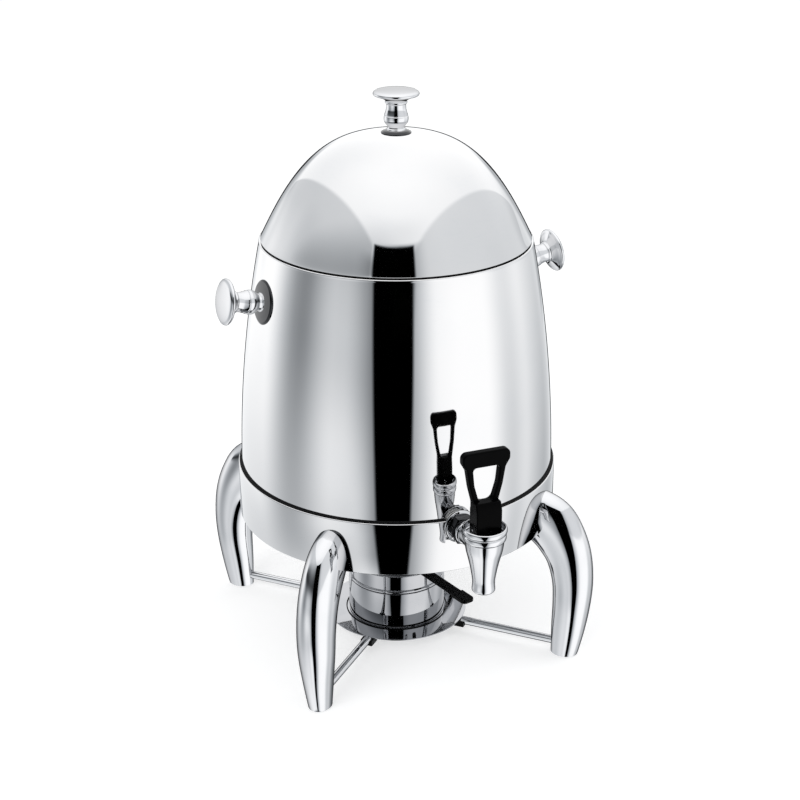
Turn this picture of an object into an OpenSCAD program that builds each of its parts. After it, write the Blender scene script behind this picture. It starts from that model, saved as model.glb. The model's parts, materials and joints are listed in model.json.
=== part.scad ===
// Coffee urn on a four-legged burner stand. Origin: on the table under the urn's axis.
// +Z is up and the tap points towards -Y. Millimetres and degrees.

/* [Stand] */
// Outer radius of the base ring
ring_r = 153.5; // [151:0.5:156]
// Height of the base ring's lower edge above the table
ring_z = 131; // [129:1:133]
// Height of the base ring
ring_h = 51; // [50:0.5:53]
// Wall of the base ring
ring_wall = 1.5; // [1:0.5:2.5]
// Turn of each leg from the line through the tap
leg_turn = 45; // [40:1:50]
// Radius of the burner tray
tray_r = 70; // [68:0.5:72]
// Height of the burner tray's floor
tray_z = 13.4; // [12.6:0.2:15]
// Radius of the tie rods
rod_r = 4; // [3:0.25:4.5]
// Height of the tie rods' axis above the table
rod_z = 11.6; // [11:0.2:13]

/* [Vessel] */
// Radius of the outer shell at its lower edge
shell_r = 150.5; // [149.5:0.5:151]
// Height of the outer shell
shell_h = 216.8; // [200:0.1:225]
// How far the shell's wall leans in evenly over its height
shell_lean = 2.9; // [2:0.1:4]
// How far the shell's wall bows in towards its top
shell_bow = 21; // [18:0.5:24]
// Wall of the outer shell and of the dome
sheet = 1.2; // [1:0.1:1.6]
// Space between the outer shell and the inner container, wall to wall
gap = 5.7; // [5.5:0.1:6]
// Height of the handle knobs above the table, at the wall
handle_z = 359.5; // [340:0.5:365]
// Turn of the handle line from square to the tap
handle_turn = 5; // [0:1:8]
// Length of a handle knob, wall to crown
handle_len = 40; // [38:1:48]

/* [Lid] */
// Radius of the dome at its edge
dome_r = 125.6; // [124:0.1:126]
// Height of the dome
dome_h = 96; // [90:0.2:100]
// Length of the lid knob
knob_len = 40; // [38:1:42]
// Radius of a knob's disc
knob_r = 21; // [19:0.5:22]

/* [Tap] */
// Height of the tap's inlet above the table
tap_z = 176; // [175.5:0.25:176.5]
// Distance of the tap's spindle from the urn's axis
tap_reach = 207; // [204:1:210]
// Tilt of the lever at its full stroke
lever_stroke = 45; // [30:1:45]
// Rise of the stem in millimetres for each radian of tilt
cam_rise = 5; // [4:0.25:5]

/* [Burner] */
// Radius of the fuel pot
pot_r = 48; // [46:0.5:49]
// Height of the fuel pot
pot_h = 37.6; // [36:0.2:40]
// Turn of the shutter's handle from the tap
shutter_turn = 13.5; // [0:0.5:25]
// Reach of the shutter's handle from the urn's axis
shutter_reach = 120; // [115:1:125]

/* [Hidden] */
$fn = 72;

steel = "gainsboro";
chrome = "lightsteelblue";
black = [0.08, 0.08, 0.09];

lean_span = 222;        // height over which the shell's lean and bow are given
eps = 0.01;
play = 0.2;             // gap between flat faces that slide past each other
fit = 0.05;             // radial play of a running fit
hidden_wall = 1;        // wall of the pressings inside

// Heights that follow from one another, table upwards
ring_top = ring_z + ring_h;
gasket_h = 1;
shell_z = ring_top + gasket_h + play;
shell_top = shell_z + shell_h;
pan_z = ring_top - 29;
liner_z = pan_z + 5;
rim_h = 2.4;
rim_top = shell_top + rim_h;
seal_h = 1.5;
dome_z = rim_top + 0.1 + seal_h;
dome_top = dome_z + dome_h;

// Radii
ring_in = ring_r - ring_wall;
lip_in = ring_r - 5.5;
pan_r = lip_in - 0.6;
liner_wall = 1;
mouth_r = shell_radius(shell_top) - sheet - gap - liner_wall;
skirt_r = mouth_r - 0.6;
stud_r = 3;
clear_r = 3.2;

// The outer shell's radius at a height: an even lean and a bow that grows with height
function shell_radius(z) =
    let (t = max(0, (z - ring_top) / lean_span)) shell_r - shell_lean * t - shell_bow * t * t;

// The dome's height above its edge, at a radius
function dome_rise(r, edge_r, rise) = rise * pow(max(0, 1 - pow(r / edge_r, 3)), 1.05);

// ---- Legs: [distance from the axis, height, half depth, half width] at each station ----
leg_stations = [
    [178.6, 1, 13.2, 10.8], [181.4, 28, 16.4, 13.8], [184, 57, 18.4, 16.8], [184, 82, 20, 17.6],
    [179.5, 106, 22.3, 17.8], [171, 124, 25, 17.6], [160, 138, 27, 17], [147, 147, 24.5, 15.5],
    [137, 149, 20, 12]
];
leg_steps = 3;
leg_sides = 24;
foot_reach = leg_stations[0][0];
pad_r = 8;
pad_h = 4;
leg_screw_z = 143;

// A point on the smooth curve through a list of stations
function smooth_at(s, pts) =
    let (
        last = len(pts) - 1,
        i = min(floor(s), last - 1),
        t = s - i,
        a = pts[max(i - 1, 0)], b = pts[i], c = pts[i + 1], d = pts[min(i + 2, last)]
    )
    0.5 * (2 * b + (c - a) * t + (2 * a - 5 * b + 4 * c - d) * t * t
        + (3 * b - a - 3 * c + d) * t * t * t);

// Faces of a tube: rings of points, each round the same way, with both ends closed
function tube_faces(count, sides) = concat(
    [[for (j = [0 : sides - 1]) j]],
    [[for (j = [sides - 1 : -1 : 0]) (count - 1) * sides + j]],
    [
        for (k = [0 : count - 2]) for (j = [0 : sides - 1])
        let (n = (j + 1) % sides)
        [k * sides + j, (k + 1) * sides + j, (k + 1) * sides + n, k * sides + n]
    ]
);

module leg(turn) {
    last = len(leg_stations) - 1;
    rings = [for (k = [0 : last * leg_steps]) smooth_at(k / leg_steps, leg_stations)];
    count = len(rings);
    // each ring stands square to the leg's centre line, and the foot's ring lies flat
    points = [
        for (k = [0 : count - 1])
        let (
            here = rings[k],
            from = rings[max(k - 1, 0)],
            to = rings[min(k + 1, count - 1)],
            run = norm([to[0] - from[0], to[1] - from[1]]),
            out = k == 0 ? [1, 0] : [(to[1] - from[1]) / run, (from[0] - to[0]) / run]
        )
        for (j = [0 : leg_sides - 1])
        let (a = 360 * j / leg_sides, u = here[2] * cos(a), v = here[3] * sin(a))
        [here[0] + out[0] * u, v, here[1] + out[1] * u]
    ];
    color(chrome) rotate([0, 0, turn]) difference() {
        polyhedron(points, tube_faces(count, leg_sides), convexity = 4);
        // the ring's seat: everything above its lower edge and inside its wall
        translate([0, 0, ring_z]) cylinder(h = 100, r = ring_r, $fn = 144);
        translate([foot_reach, 0, -eps]) cylinder(h = pad_h + eps, r = pad_r + 0.1);
        translate([150, 0, rod_z]) rotate([0, 90, 0]) cylinder(h = 23, r = rod_r + 0.1);
        translate([140, 0, leg_screw_z]) rotate([0, 90, 0]) cylinder(h = 31, r = stud_r + 0.1);
    }
}

// Math angles of the four legs: the tap is at -90
front_left = -90 - leg_turn;
front_right = -90 + leg_turn;
back_left = 90 + leg_turn;
back_right = 90 - leg_turn;
leg_angles = [front_left, front_right, back_left, back_right];

module at_legs() {
    for (turn = leg_angles) rotate([0, 0, turn]) children();
}

module leg_front_left() { leg(front_left); }
module leg_front_right() { leg(front_right); }
module leg_back_left() { leg(back_left); }
module leg_back_right() { leg(back_right); }

module foot_pads() {
    color(black) at_legs() translate([foot_reach, 0, 0]) cylinder(h = pad_h, r = pad_r);
}

module leg_screws() {
    color(steel) at_legs() translate([0, 0, leg_screw_z]) rotate([0, 90, 0]) {
        translate([0, 0, ring_in - 4]) difference() {
            cylinder(h = 4 - play, r = 5);
            translate([0, 0, -eps]) cylinder(h = 2.4, r = 2.9, $fn = 6);
        }
        translate([0, 0, ring_in - 1]) cylinder(h = 19, r = stud_r);
    }
}

// ---- Base ring ----
notch_r = 12.6;         // half width of the ring's notch for the tap

module tap_notch() {
    translate([0, 0, tap_z]) rotate([90, 0, 0]) cylinder(h = 200, r = notch_r);
    translate([-notch_r, -200, tap_z]) cube([2 * notch_r, 200, 40]);
}

module base_ring() {
    color(steel) difference() {
        rotate_extrude($fn = 144) union() {
            translate([ring_in, ring_z]) square([ring_wall, ring_h - 1]);
            // the upper lip that carries the seat gasket, with a rolled outer edge
            translate([lip_in, ring_top - 1.6]) square([ring_r - 1 - lip_in, 1.6]);
            translate([ring_r - 1, ring_top - 1]) circle(r = 1, $fn = 32);
            // the hem at the lower edge
            translate([ring_in - 2.5, ring_z]) square([3, 1.5]);
        }
        tap_notch();
        at_legs() translate([140, 0, leg_screw_z]) rotate([0, 90, 0]) cylinder(h = 20, r = clear_r);
    }
}

shelf_h = 2.2;
shelf_z = pan_z - play - shelf_h;

module ring_shelf() {
    color(steel) translate([0, 0, shelf_z]) difference() {
        cylinder(h = shelf_h, r = ring_in, $fn = 144);
        translate([0, 0, -eps]) cylinder(h = shelf_h + 2 * eps, r = 134, $fn = 144);
    }
}

module seat_gasket() {
    color(black) difference() {
        translate([0, 0, ring_top]) difference() {
            cylinder(h = gasket_h, r = ring_r - 0.8, $fn = 144);
            translate([0, 0, -eps]) cylinder(h = gasket_h + 2 * eps, r = lip_in, $fn = 144);
        }
        tap_notch();
    }
}

// ---- Burner tray and its rods ----
tray_t = 1.2;
lug_in = 62;
lug_out = tray_r + 5;
lug_w = 12;
lug_h = 5.5;            // height of a lug under the tray
tray_screw_at = 66;
tray_screw_r = 2;

module tie_rods() {
    color(chrome) at_legs() translate([tray_r + 1.5, 0, rod_z]) rotate([0, 90, 0])
        cylinder(h = 98, r = rod_r);
}

module rod_lugs() {
    color("dimgray") at_legs() difference() {
        translate([0, -lug_w / 2, tray_z - tray_t - lug_h]) {
            translate([lug_in, 0, 0]) cube([lug_out - lug_in, lug_w, lug_h]);
            // the cradle that the rod's end lies in
            translate([tray_r + 0.3, 0, 0]) cube([lug_out - tray_r - 0.3, lug_w, lug_h]);
        }
        translate([tray_r + 1.4, 0, rod_z]) rotate([0, 90, 0]) cylinder(h = 20, r = rod_r);
        translate([tray_screw_at, 0, 0]) cylinder(h = 40, r = tray_screw_r + 0.1);
    }
}

module burner_tray() {
    color(steel) difference() {
        translate([0, 0, tray_z - tray_t]) rotate_extrude($fn = 144) polygon([
            [0, 0], [tray_r - 0.6, 0], [tray_r - 0.2, 0.2], [tray_r, 0.6], [tray_r, tray_t - 0.3],
            [tray_r - 0.3, tray_t], [0, tray_t]
        ]);
        at_legs() translate([tray_screw_at, 0, 0]) cylinder(h = 40, r = tray_screw_r + 0.1);
    }
}

module tray_screws() {
    color(steel) at_legs() translate([tray_screw_at, 0, 0]) {
        translate([0, 0, tray_z - tray_t - lug_h]) cylinder(h = lug_h + 1, r = tray_screw_r);
        translate([0, 0, tray_z - tray_t - lug_h - 1.5]) cylinder(h = 1.5, r = 3.6);
    }
}

module pot_locating_ring() {
    low_h = 1.6;
    color(black) translate([0, 0, tray_z]) difference() {
        cylinder(h = low_h, r = pot_r + 3, $fn = 144);
        translate([0, 0, -eps]) cylinder(h = low_h + 2 * eps, r = pot_r + 0.7, $fn = 144);
    }
}

// ---- Vessel ----
wall_steps = 12;        // straight stretches in the curved wall

// The wall of a shell that follows the outer shell, moved in by an offset
module curved_wall(z0, z1, inset, wall) {
    heights = [for (k = [0 : wall_steps]) z0 + (z1 - z0) * k / wall_steps];
    rotate_extrude($fn = 144) polygon(concat(
        [for (z = heights) [shell_radius(z) - inset, z]],
        [for (k = [wall_steps : -1 : 0]) [shell_radius(heights[k]) - inset - wall, heights[k]]]
    ));
}

module outer_shell() {
    color(steel) difference() {
        curved_wall(shell_z, shell_top, 0, sheet);
        at_handles() translate([0, 0, -10]) cylinder(h = 20, r = clear_r);
        tap_bore(shank_r + 0.2);
    }
}

module tap_bore(r) {
    translate([0, 0, tap_z]) rotate([90, 0, 0]) cylinder(h = 170, r = r);
}

module base_pan() {
    flange_r = shell_r - sheet - 0.1;
    inner = pan_r - hidden_wall;
    color(steel) difference() {
        // a deep pan with a flange that is welded inside the shell's lower edge
        rotate_extrude($fn = 144) polygon([
            [0, pan_z], [pan_r, pan_z], [pan_r, shell_z + 0.1], [flange_r, shell_z + 0.1],
            [flange_r, shell_z + 0.1 + hidden_wall], [inner, shell_z + 0.1 + hidden_wall],
            [inner, pan_z + hidden_wall], [0, pan_z + hidden_wall]
        ]);
        tap_bore(shank_r + 0.2);
    }
}

module heat_plate() {
    color("silver") translate([0, 0, pan_z + hidden_wall + 0.1])
        cylinder(h = liner_z - pan_z - hidden_wall - 0.2, r = 100);
}

module inner_container() {
    inset = sheet + gap;
    corner = 4;
    low_r = shell_r - inset;
    color(steel) difference() {
        union() {
            curved_wall(shell_z, shell_top, inset, liner_wall);
            rotate_extrude($fn = 144) polygon([
                [0, liner_z], [low_r - corner, liner_z], [low_r - corner / 3, liner_z + corner / 3],
                [low_r, liner_z + corner], [low_r, shell_z], [low_r - liner_wall, shell_z],
                [low_r - liner_wall, liner_z + corner + 0.6],
                [low_r - corner / 3 - liner_wall * 0.8, liner_z + corner / 3 + liner_wall * 0.7],
                [low_r - corner - 0.6, liner_z + liner_wall], [0, liner_z + liner_wall]
            ]);
        }
        tap_bore(shank_r + 0.2);
    }
}

module rim_ring() {
    outer = shell_radius(shell_top) + 0.1;
    edge = rim_h / 2;
    color(steel) translate([0, 0, rim_top - edge]) rotate_extrude($fn = 144) union() {
        translate([mouth_r + edge, -edge]) square([outer - mouth_r - 2 * edge, 2 * edge]);
        translate([mouth_r + edge, 0]) circle(r = edge, $fn = 32);
        translate([outer - edge, 0]) circle(r = edge, $fn = 32);
    }
}

// ---- Knobs: a turned profile, its seat at 0, its crown at the full length ----
module knob_profile(length, foot) {
    k = length / 40;
    top = length - 4;
    rotate_extrude() polygon(concat(
        [
            [0, foot], [7.9, foot], [7.9, 5.6 * k], [10.3, 9.6 * k], [11, 11 * k], [11.2, 13 * k],
            [11, 15.6 * k], [10.6, 16 * k], [10.6, 16.6 * k], [10.6, 17 * k], [9.6, 20 * k],
            [9, 23 * k], [9, top - 9.5 * k], [9.5, top - 7 * k], [11.5, top - 5], [14.5, top - 3.4],
            [knob_r - 2.6, top - 2.2]
        ],
        [for (a = [-60 : 30 : 60]) [knob_r - 1.8 + 1.8 * cos(a), top + 1.8 * sin(a)]],
        [for (t = [0.8 : -0.2 : 0]) [(knob_r - 1) * t, top + 1.6 + 2.4 * sqrt(1 - t * t)]]
    ));
}

handle_lean = atan((shell_lean + 2 * shell_bow * (handle_z - ring_top) / lean_span) / lean_span);

// Right and left handle places, with +Z along the knob's axis and 0 at the wall
module at_handle(side) {
    rotate([0, 0, handle_turn + (side == "left" ? 180 : 0)])
        translate([shell_radius(handle_z), 0, handle_z]) rotate([0, 90 - handle_lean, 0]) children();
}

module at_handles() {
    at_handle("right") children();
    at_handle("left") children();
}

rosette_h = 2;

module handle_knob(side) {
    color(chrome) at_handle(side) difference() {
        knob_profile(handle_len, rosette_h);
        translate([0, 0, -eps]) cylinder(h = 13, r = stud_r + 0.1);
    }
}

module handle_knob_left() { handle_knob("left"); }
module handle_knob_right() { handle_knob("right"); }

module handle_rosette(side) {
    saddle = 1.9;       // how far its edge reaches back to the round wall
    color(chrome) difference() {
        at_handle(side) difference() {
            rotate_extrude() polygon([
                [0, -saddle], [20.2, -saddle], [20.5, -saddle + 0.3], [20.3, 0.4], [19, 1.1],
                [14, rosette_h - 0.2], [8, rosette_h], [0, rosette_h]
            ]);
            translate([0, 0, -5]) cylinder(h = 20, r = stud_r + 0.1);
        }
        rotate_extrude($fn = 144) polygon(concat(
            [[0, handle_z + 40], [0, handle_z - 40]],
            [for (z = [handle_z - 40 : 10 : handle_z + 40]) [shell_radius(z) + 0.03, z]]
        ));
    }
}

module handle_rosette_left() { handle_rosette("left"); }
module handle_rosette_right() { handle_rosette("right"); }

module handle_studs() {
    color(steel) at_handles() translate([0, 0, -5.2]) cylinder(h = 17.5, r = stud_r);
}

module handle_nuts() {
    color(steel) at_handles() translate([0, 0, -sheet - 3.1]) difference() {
        cylinder(h = 2.6, r = 5.8, $fn = 6);
        translate([0, 0, -eps]) cylinder(h = 4, r = stud_r + 0.02);
    }
}

// ---- Tap ----
shank_r = 9;
shank_bore = 6;
shank_in = 127;         // its inner end, from the urn's axis
flange_back = ring_r + 0.8;
flange_t = 3;
nut_back = flange_back + flange_t + 0.1;
nut_t = 8.4;
nut_af = 24;
arm_back = nut_back + nut_t + 0.1;
socket = 12;            // how deep the shank's end sits in the tap's arm
socket_r = 7.2;
chamber_r = 11.5;
seat_z = tap_z - 9;
neck_top = tap_z + 14.5;
neck_r = 15.9;
skirt_drop = 2.4;       // how far the bonnet's skirt reaches down over the neck
skirt_out = 19.3;
floor_z = neck_top + 2.85;
bonnet_top = floor_z + 7.15;
spout_z = tap_z - 39;
spout_bore = 7;
stem_r = 3;
pin_drop = 5;           // lever pin above the bonnet's floor
pin_z = floor_z + 0.15 + pin_drop;
pin_r = 1.5;
blade_w = 3;
blade_d = 5.2;

module hex_bar(af, h) { cylinder(h = h, r = af / sqrt(3), $fn = 6); }

// +Z of the children points out along the tap's inlet, measured from the urn's axis
module along_inlet(from) {
    translate([0, -from, tap_z]) rotate([90, 0, 0]) children();
}

module at_spindle() { translate([0, -tap_reach, 0]) children(); }

module tap_shank() {
    color(chrome) difference() {
        union() {
            along_inlet(shank_in) cylinder(h = arm_back - shank_in, r = shank_r);
            along_inlet(arm_back - eps) cylinder(h = socket, r = socket_r - 0.1);
        }
        along_inlet(shank_in - 1) cylinder(h = 80, r = shank_bore);
    }
}

module tap_spacer() {
    color("white") difference() {
        along_inlet(140) cylinder(h = flange_back - 140 - 0.1, r = 12);
        along_inlet(130) cylinder(h = 40, r = shank_r + 0.05);
        cylinder(h = shell_z - 0.05, r = pan_r + 0.1, $fn = 144);
        translate([0, 0, shell_z - 0.1]) cylinder(h = 60, r = shell_r + 0.1, $fn = 144);
    }
}

module tap_escutcheon() {
    color(chrome) along_inlet(flange_back) difference() {
        rotate_extrude() polygon([
            [0, 0], [15.1, 0], [15.6, 0.5], [15.6, 1.6], [15, 2.4], [14, 2.6], [13.7, flange_t],
            [0, flange_t]
        ]);
        translate([0, 0, -eps]) cylinder(h = 10, r = shank_r + 0.05);
    }
}

module tap_lock_nut() {
    color(chrome) along_inlet(nut_back) difference() {
        intersection() {
            hex_bar(nut_af, nut_t);
            // the chamfered corners
            rotate_extrude() polygon([
                [0, 0], [12.8, 0], [14, 1.1], [14, nut_t - 1.1], [12.8, nut_t], [0, nut_t]
            ]);
        }
        translate([0, 0, -eps]) cylinder(h = 12, r = shank_r + 0.05);
    }
}

liner_in_r = shell_r - sheet - gap - liner_wall;

module tap_inner_gasket() {
    color(black) intersection() {
        along_inlet(liner_in_r - 4) difference() {
            cylinder(h = 8, r = 12);
            translate([0, 0, -eps]) cylinder(h = 9, r = shank_r + 0.05);
        }
        cylinder(h = 300, r = liner_in_r - play, $fn = 144);
    }
}

module tap_back_nut() {
    color(chrome) along_inlet(liner_in_r - 11) difference() {
        hex_bar(nut_af, 6.9);
        translate([0, 0, -eps]) cylinder(h = 9, r = shank_r + 0.05);
    }
}

module tap_body() {
    color(chrome) difference() {
        union() {
            at_spindle() rotate_extrude() polygon([
                [0, spout_z], [10.3, spout_z], [10.5, spout_z + 1.5], [10.1, spout_z + 8],
                [10.3, spout_z + 12], [12.2, spout_z + 24], [17.7, neck_top - skirt_drop - 0.2],
                [neck_r, neck_top - skirt_drop - 0.1], [neck_r, neck_top - 0.05], [0, neck_top - 0.05]
            ]);
            along_inlet(arm_back) cylinder(h = tap_reach - arm_back, r = shank_r);
            along_inlet(arm_back) cylinder(h = 5, r = shank_r + 2);
        }
        along_inlet(arm_back - 1) cylinder(h = socket + 1, r = socket_r);
        along_inlet(arm_back) cylinder(h = tap_reach - arm_back, r = shank_bore - 0.5);
        at_spindle() {
            translate([0, 0, seat_z]) cylinder(h = 60, r = chamber_r);
            translate([0, 0, spout_z - 1]) cylinder(h = 60, r = spout_bore);
        }
    }
}

module tap_bonnet() {
    cup_in = 18.2;
    color(chrome) at_spindle() rotate_extrude() polygon([
        [stem_r + fit, neck_top], [neck_r, neck_top], [neck_r + 0.1, neck_top - skirt_drop],
        [skirt_out - 0.8, neck_top - skirt_drop], [skirt_out, neck_top - skirt_drop + 0.8],
        [skirt_out, neck_top + 3.6], [skirt_out - 0.9, neck_top + 4.6],
        [19.2, neck_top + 5.2], [20, neck_top + 6.1], [20, bonnet_top - 1.2], [19.4, bonnet_top],
        [cup_in + 0.4, bonnet_top], [cup_in, bonnet_top - 0.6], [cup_in, floor_z],
        [stem_r + fit, floor_z]
    ]);
}

module tap_stem() {
    blade_z = floor_z - 4.35;
    color(steel) at_spindle() difference() {
        union() {
            translate([0, 0, seat_z + 1.5]) cylinder(h = blade_z - seat_z - 1.5, r = stem_r);
            translate([0, 0, seat_z + 5.9]) cylinder(h = 1, r = 5.8);
            translate([-blade_w / 2, -blade_d / 2, blade_z - eps])
                cube([blade_w, blade_d, pin_z - blade_z]);
            translate([-blade_w / 2, 0, pin_z]) rotate([0, 90, 0]) cylinder(h = blade_w, r = blade_d / 2);
        }
        translate([-5, 0, pin_z]) rotate([0, 90, 0]) cylinder(h = 10, r = pin_r + fit);
    }
}

module tap_seat_cup() {
    color("whitesmoke") at_spindle() difference() {
        translate([0, 0, seat_z + 0.1]) rotate_extrude() polygon([
            [0, 0], [9, 0], [9.6, 0.8], [9.6, 3], [8, 5.7], [0, 5.7]
        ]);
        translate([0, 0, seat_z + 1.5]) cylinder(h = 10, r = stem_r + 0.02);
    }
}

module tap_spring() {
    turns = 5;
    per_turn = 14;
    wire = 0.6;
    coil = 4.8;
    sides = 8;
    low = seat_z + 7.6;
    high = neck_top - 0.7;
    count = turns * per_turn + 1;
    points = [
        for (k = [0 : count - 1])
        let (a = 360 * k / per_turn, z = low + (high - low) * k / (count - 1))
        for (j = [0 : sides - 1])
        let (b = 360 * j / sides, r = coil + wire * cos(b))
        [r * cos(a), r * sin(a), z - wire * sin(b)]
    ];
    color(steel) at_spindle() polyhedron(points, tube_faces(count, sides), convexity = 8);
}

// The lever's foot is a cam: its depth below the pin grows evenly with the tilt
function cam_point(a) =
    let (depth = pin_drop + cam_rise * a * PI / 180)
    [-depth * sin(a) - cam_rise * cos(a), -depth * cos(a) + cam_rise * sin(a)];

lever_w = 24;
waist_z = 224;
lever_top = 272;
bar_w = 44.8;
bar_r = 6.2;
grip_t = 8;

module lever_outline() {
    bar_z = lever_top - bar_r;
    // the arms, as half widths and heights
    arm = [
        [lever_w / 2, waist_z - 20], [lever_w / 2, waist_z], [16, waist_z + 16],
        [18.4, bar_z - 13], [19.4, bar_z - 6], [bar_w / 2 - bar_r, bar_z]
    ];
    difference() {
        union() {
            translate([-bar_w / 2 + bar_r, bar_z - bar_r]) square([bar_w - 2 * bar_r, 2 * bar_r]);
            for (x = [-1, 1]) translate([x * (bar_w / 2 - bar_r), bar_z]) circle(r = bar_r, $fn = 32);
            polygon(concat(arm, [for (k = [len(arm) - 1 : -1 : 0]) [-arm[k][0], arm[k][1]]]));
        }
        finger_hole();
    }
}

module finger_hole() {
    low_r = 7.6;
    low = waist_z + 1 + low_r;
    high_r = 3;
    high = lever_top - 2 * bar_r - 2.1 - high_r;
    high_x = 12.4 - high_r;
    polygon(concat(
        [for (a = [180 : 20 : 360]) [low_r * cos(a), low + low_r * sin(a)]],
        [for (a = [0 : 30 : 90]) [high_x + high_r * cos(a), high + high_r * sin(a)]],
        [for (a = [90 : 30 : 180]) [-high_x + high_r * cos(a), high + high_r * sin(a)]]
    ));
}

module tap_lever() {
    cam = [for (a = [0 : lever_stroke / 9 : lever_stroke]) cam_point(a)];
    front = cam[len(cam) - 1][0];
    back = front + 16;
    block_top = waist_z - pin_z + 2;
    color(black) at_spindle() difference() {
        union() {
            translate([0, back, 0]) rotate([90, 0, 0])
                linear_extrude(height = grip_t) lever_outline();
            translate([-lever_w / 2, 0, pin_z]) rotate([90, 0, 90]) linear_extrude(height = lever_w)
                polygon(concat(
                    [[back, block_top - 8], [back, -pin_drop + 1], [back - 1, -pin_drop]],
                    cam,
                    [[front, block_top - 8], [front + 3, block_top], [back - 3, block_top]]
                ));
        }
        // the slot for the stem's blade
        translate([-blade_w / 2 - play, -20, pin_z - 12])
            cube([blade_w + 2 * play, 40, 12 + blade_d / 2 + 0.6]);
        translate([-lever_w, 0, pin_z]) rotate([0, 90, 0]) cylinder(h = 2 * lever_w, r = pin_r);
    }
}

module lever_pin() {
    color(steel) at_spindle() translate([-lever_w / 2 + 0.3, 0, pin_z]) rotate([0, 90, 0])
        cylinder(h = lever_w - 0.6, r = pin_r);
}

// ---- Lid ----
dome_steps = 22;

module lid_dome() {
    in_r = dome_r - sheet;
    in_h = dome_h - sheet;
    // steps that close up towards the edge, where the dome turns down
    outer = [for (k = [0 : dome_steps]) dome_r * sin(90 * k / dome_steps)];
    inner = [for (k = [dome_steps : -1 : 0]) in_r * sin(90 * k / dome_steps)];
    color(steel) translate([0, 0, dome_z]) difference() {
        rotate_extrude($fn = 144) polygon(concat(
            [for (r = outer) [r, dome_rise(r, dome_r, dome_h)]],
            [for (r = inner) [r, dome_rise(r, in_r, in_h)]]
        ));
        translate([0, 0, dome_h - 10]) cylinder(h = 20, r = clear_r);
    }
}

module lid_skirt() {
    drop = 11;
    lip_r = dome_r - sheet - 1;
    color(steel) rotate_extrude($fn = 144) polygon([
        [skirt_r - hidden_wall, dome_z - drop], [skirt_r, dome_z - drop], [skirt_r, dome_z + 0.05],
        [lip_r, dome_z + 0.05], [lip_r, dome_z + 1.1], [skirt_r - hidden_wall, dome_z + 1.1]
    ]);
}

module lid_seal() {
    color(black) translate([0, 0, dome_z - seal_h]) difference() {
        cylinder(h = seal_h - 0.02, r = dome_r - 0.7, $fn = 144);
        translate([0, 0, -eps]) cylinder(h = seal_h, r = skirt_r + 0.05, $fn = 144);
    }
}

module lid_rosette() {
    color(chrome) translate([0, 0, dome_top]) difference() {
        rotate_extrude() polygon([
            [0, 0], [13.4, 0], [14, 0.6], [13.6, 1.5], [11.5, 2.4], [8.6, 3], [0, 3]
        ]);
        translate([0, 0, -1]) cylinder(h = 20, r = stud_r + 0.1);
    }
}

module lid_knob() {
    color(chrome) translate([0, 0, dome_top]) difference() {
        knob_profile(knob_len, 3);
        translate([0, 0, -eps]) cylinder(h = 18, r = stud_r + 0.1);
    }
}

washer_h = 1.2;

module lid_knob_screw() {
    head_z = dome_top - sheet - washer_h - 3.4;
    color(steel) translate([0, 0, head_z]) difference() {
        union() {
            cylinder(h = 3.2, r = 5.4);
            cylinder(h = 21, r = stud_r);
        }
        translate([0, 0, -eps]) cylinder(h = 1.8, r = 2.3, $fn = 6);
    }
}

module lid_washer() {
    color(steel) translate([0, 0, dome_top - sheet - washer_h - 0.1]) difference() {
        cylinder(h = washer_h - 0.1, r = 9);
        translate([0, 0, -eps]) cylinder(h = washer_h, r = clear_r);
    }
}

// ---- Burner ----
pot_z = tray_z + 0.1;
pot_wall = 1.2;
pot_top = pot_z + pot_h;
cover_r = pot_r - 1.8;
cover_top = pot_top + 18.9;
plate_t = 1.2;
rivet_r = 3;
windows = 3;

module fuel_pot() {
    color(steel) translate([0, 0, pot_z]) difference() {
        cylinder(h = pot_h, r = pot_r, $fn = 144);
        translate([0, 0, pot_wall]) cylinder(h = pot_h, r = pot_r - pot_wall, $fn = 144);
    }
}

// The flame windows: slots that a shutter with the same slots opens and shuts
module windows_2d(turn) {
    inner = 13;
    outer = 33;
    span = 52;
    for (k = [0 : windows - 1]) rotate(turn + k * 360 / windows) polygon(concat(
        [for (a = [-span / 2 : 6.5 : span / 2]) [outer * cos(a), outer * sin(a)]],
        [for (a = [span / 2 : -13 : -span / 2]) [inner * cos(a), inner * sin(a)]]
    ));
}

shutter_angle = -90 + shutter_turn;

module pot_cover() {
    bead_h = 3.2;
    lap = 5;
    color(steel) difference() {
        rotate_extrude($fn = 144) polygon([
            [0, cover_top], [cover_r - 0.8, cover_top], [cover_r, cover_top - 0.8],
            [cover_r, pot_top + 0.2 + bead_h], [pot_r - 0.5, pot_top + bead_h],
            [pot_r, pot_top + bead_h / 2], [pot_r - 0.5, pot_top + 0.2],
            [pot_r - pot_wall - 0.4, pot_top + 0.2], [pot_r - pot_wall - 0.4, pot_top - lap],
            [cover_r - 1.6, pot_top - lap], [cover_r - 1.6, cover_top - plate_t],
            [0, cover_top - plate_t]
        ]);
        translate([0, 0, cover_top - 5]) linear_extrude(height = 10) windows_2d(shutter_angle + 60);
        translate([0, 0, cover_top - 5]) cylinder(h = 10, r = rivet_r + fit);
    }
}

shutter_z = cover_top + 0.15;
strip_z = shutter_z + plate_t + 0.02;
strip_w = 12;
strip_t = 1.5;
grip_at = 100;

module shutter_plate() {
    color("dimgray") translate([0, 0, shutter_z]) linear_extrude(height = plate_t) difference() {
        circle(r = 37, $fn = 144);
        windows_2d(shutter_angle);
        circle(r = rivet_r + 0.02);
    }
}

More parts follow.
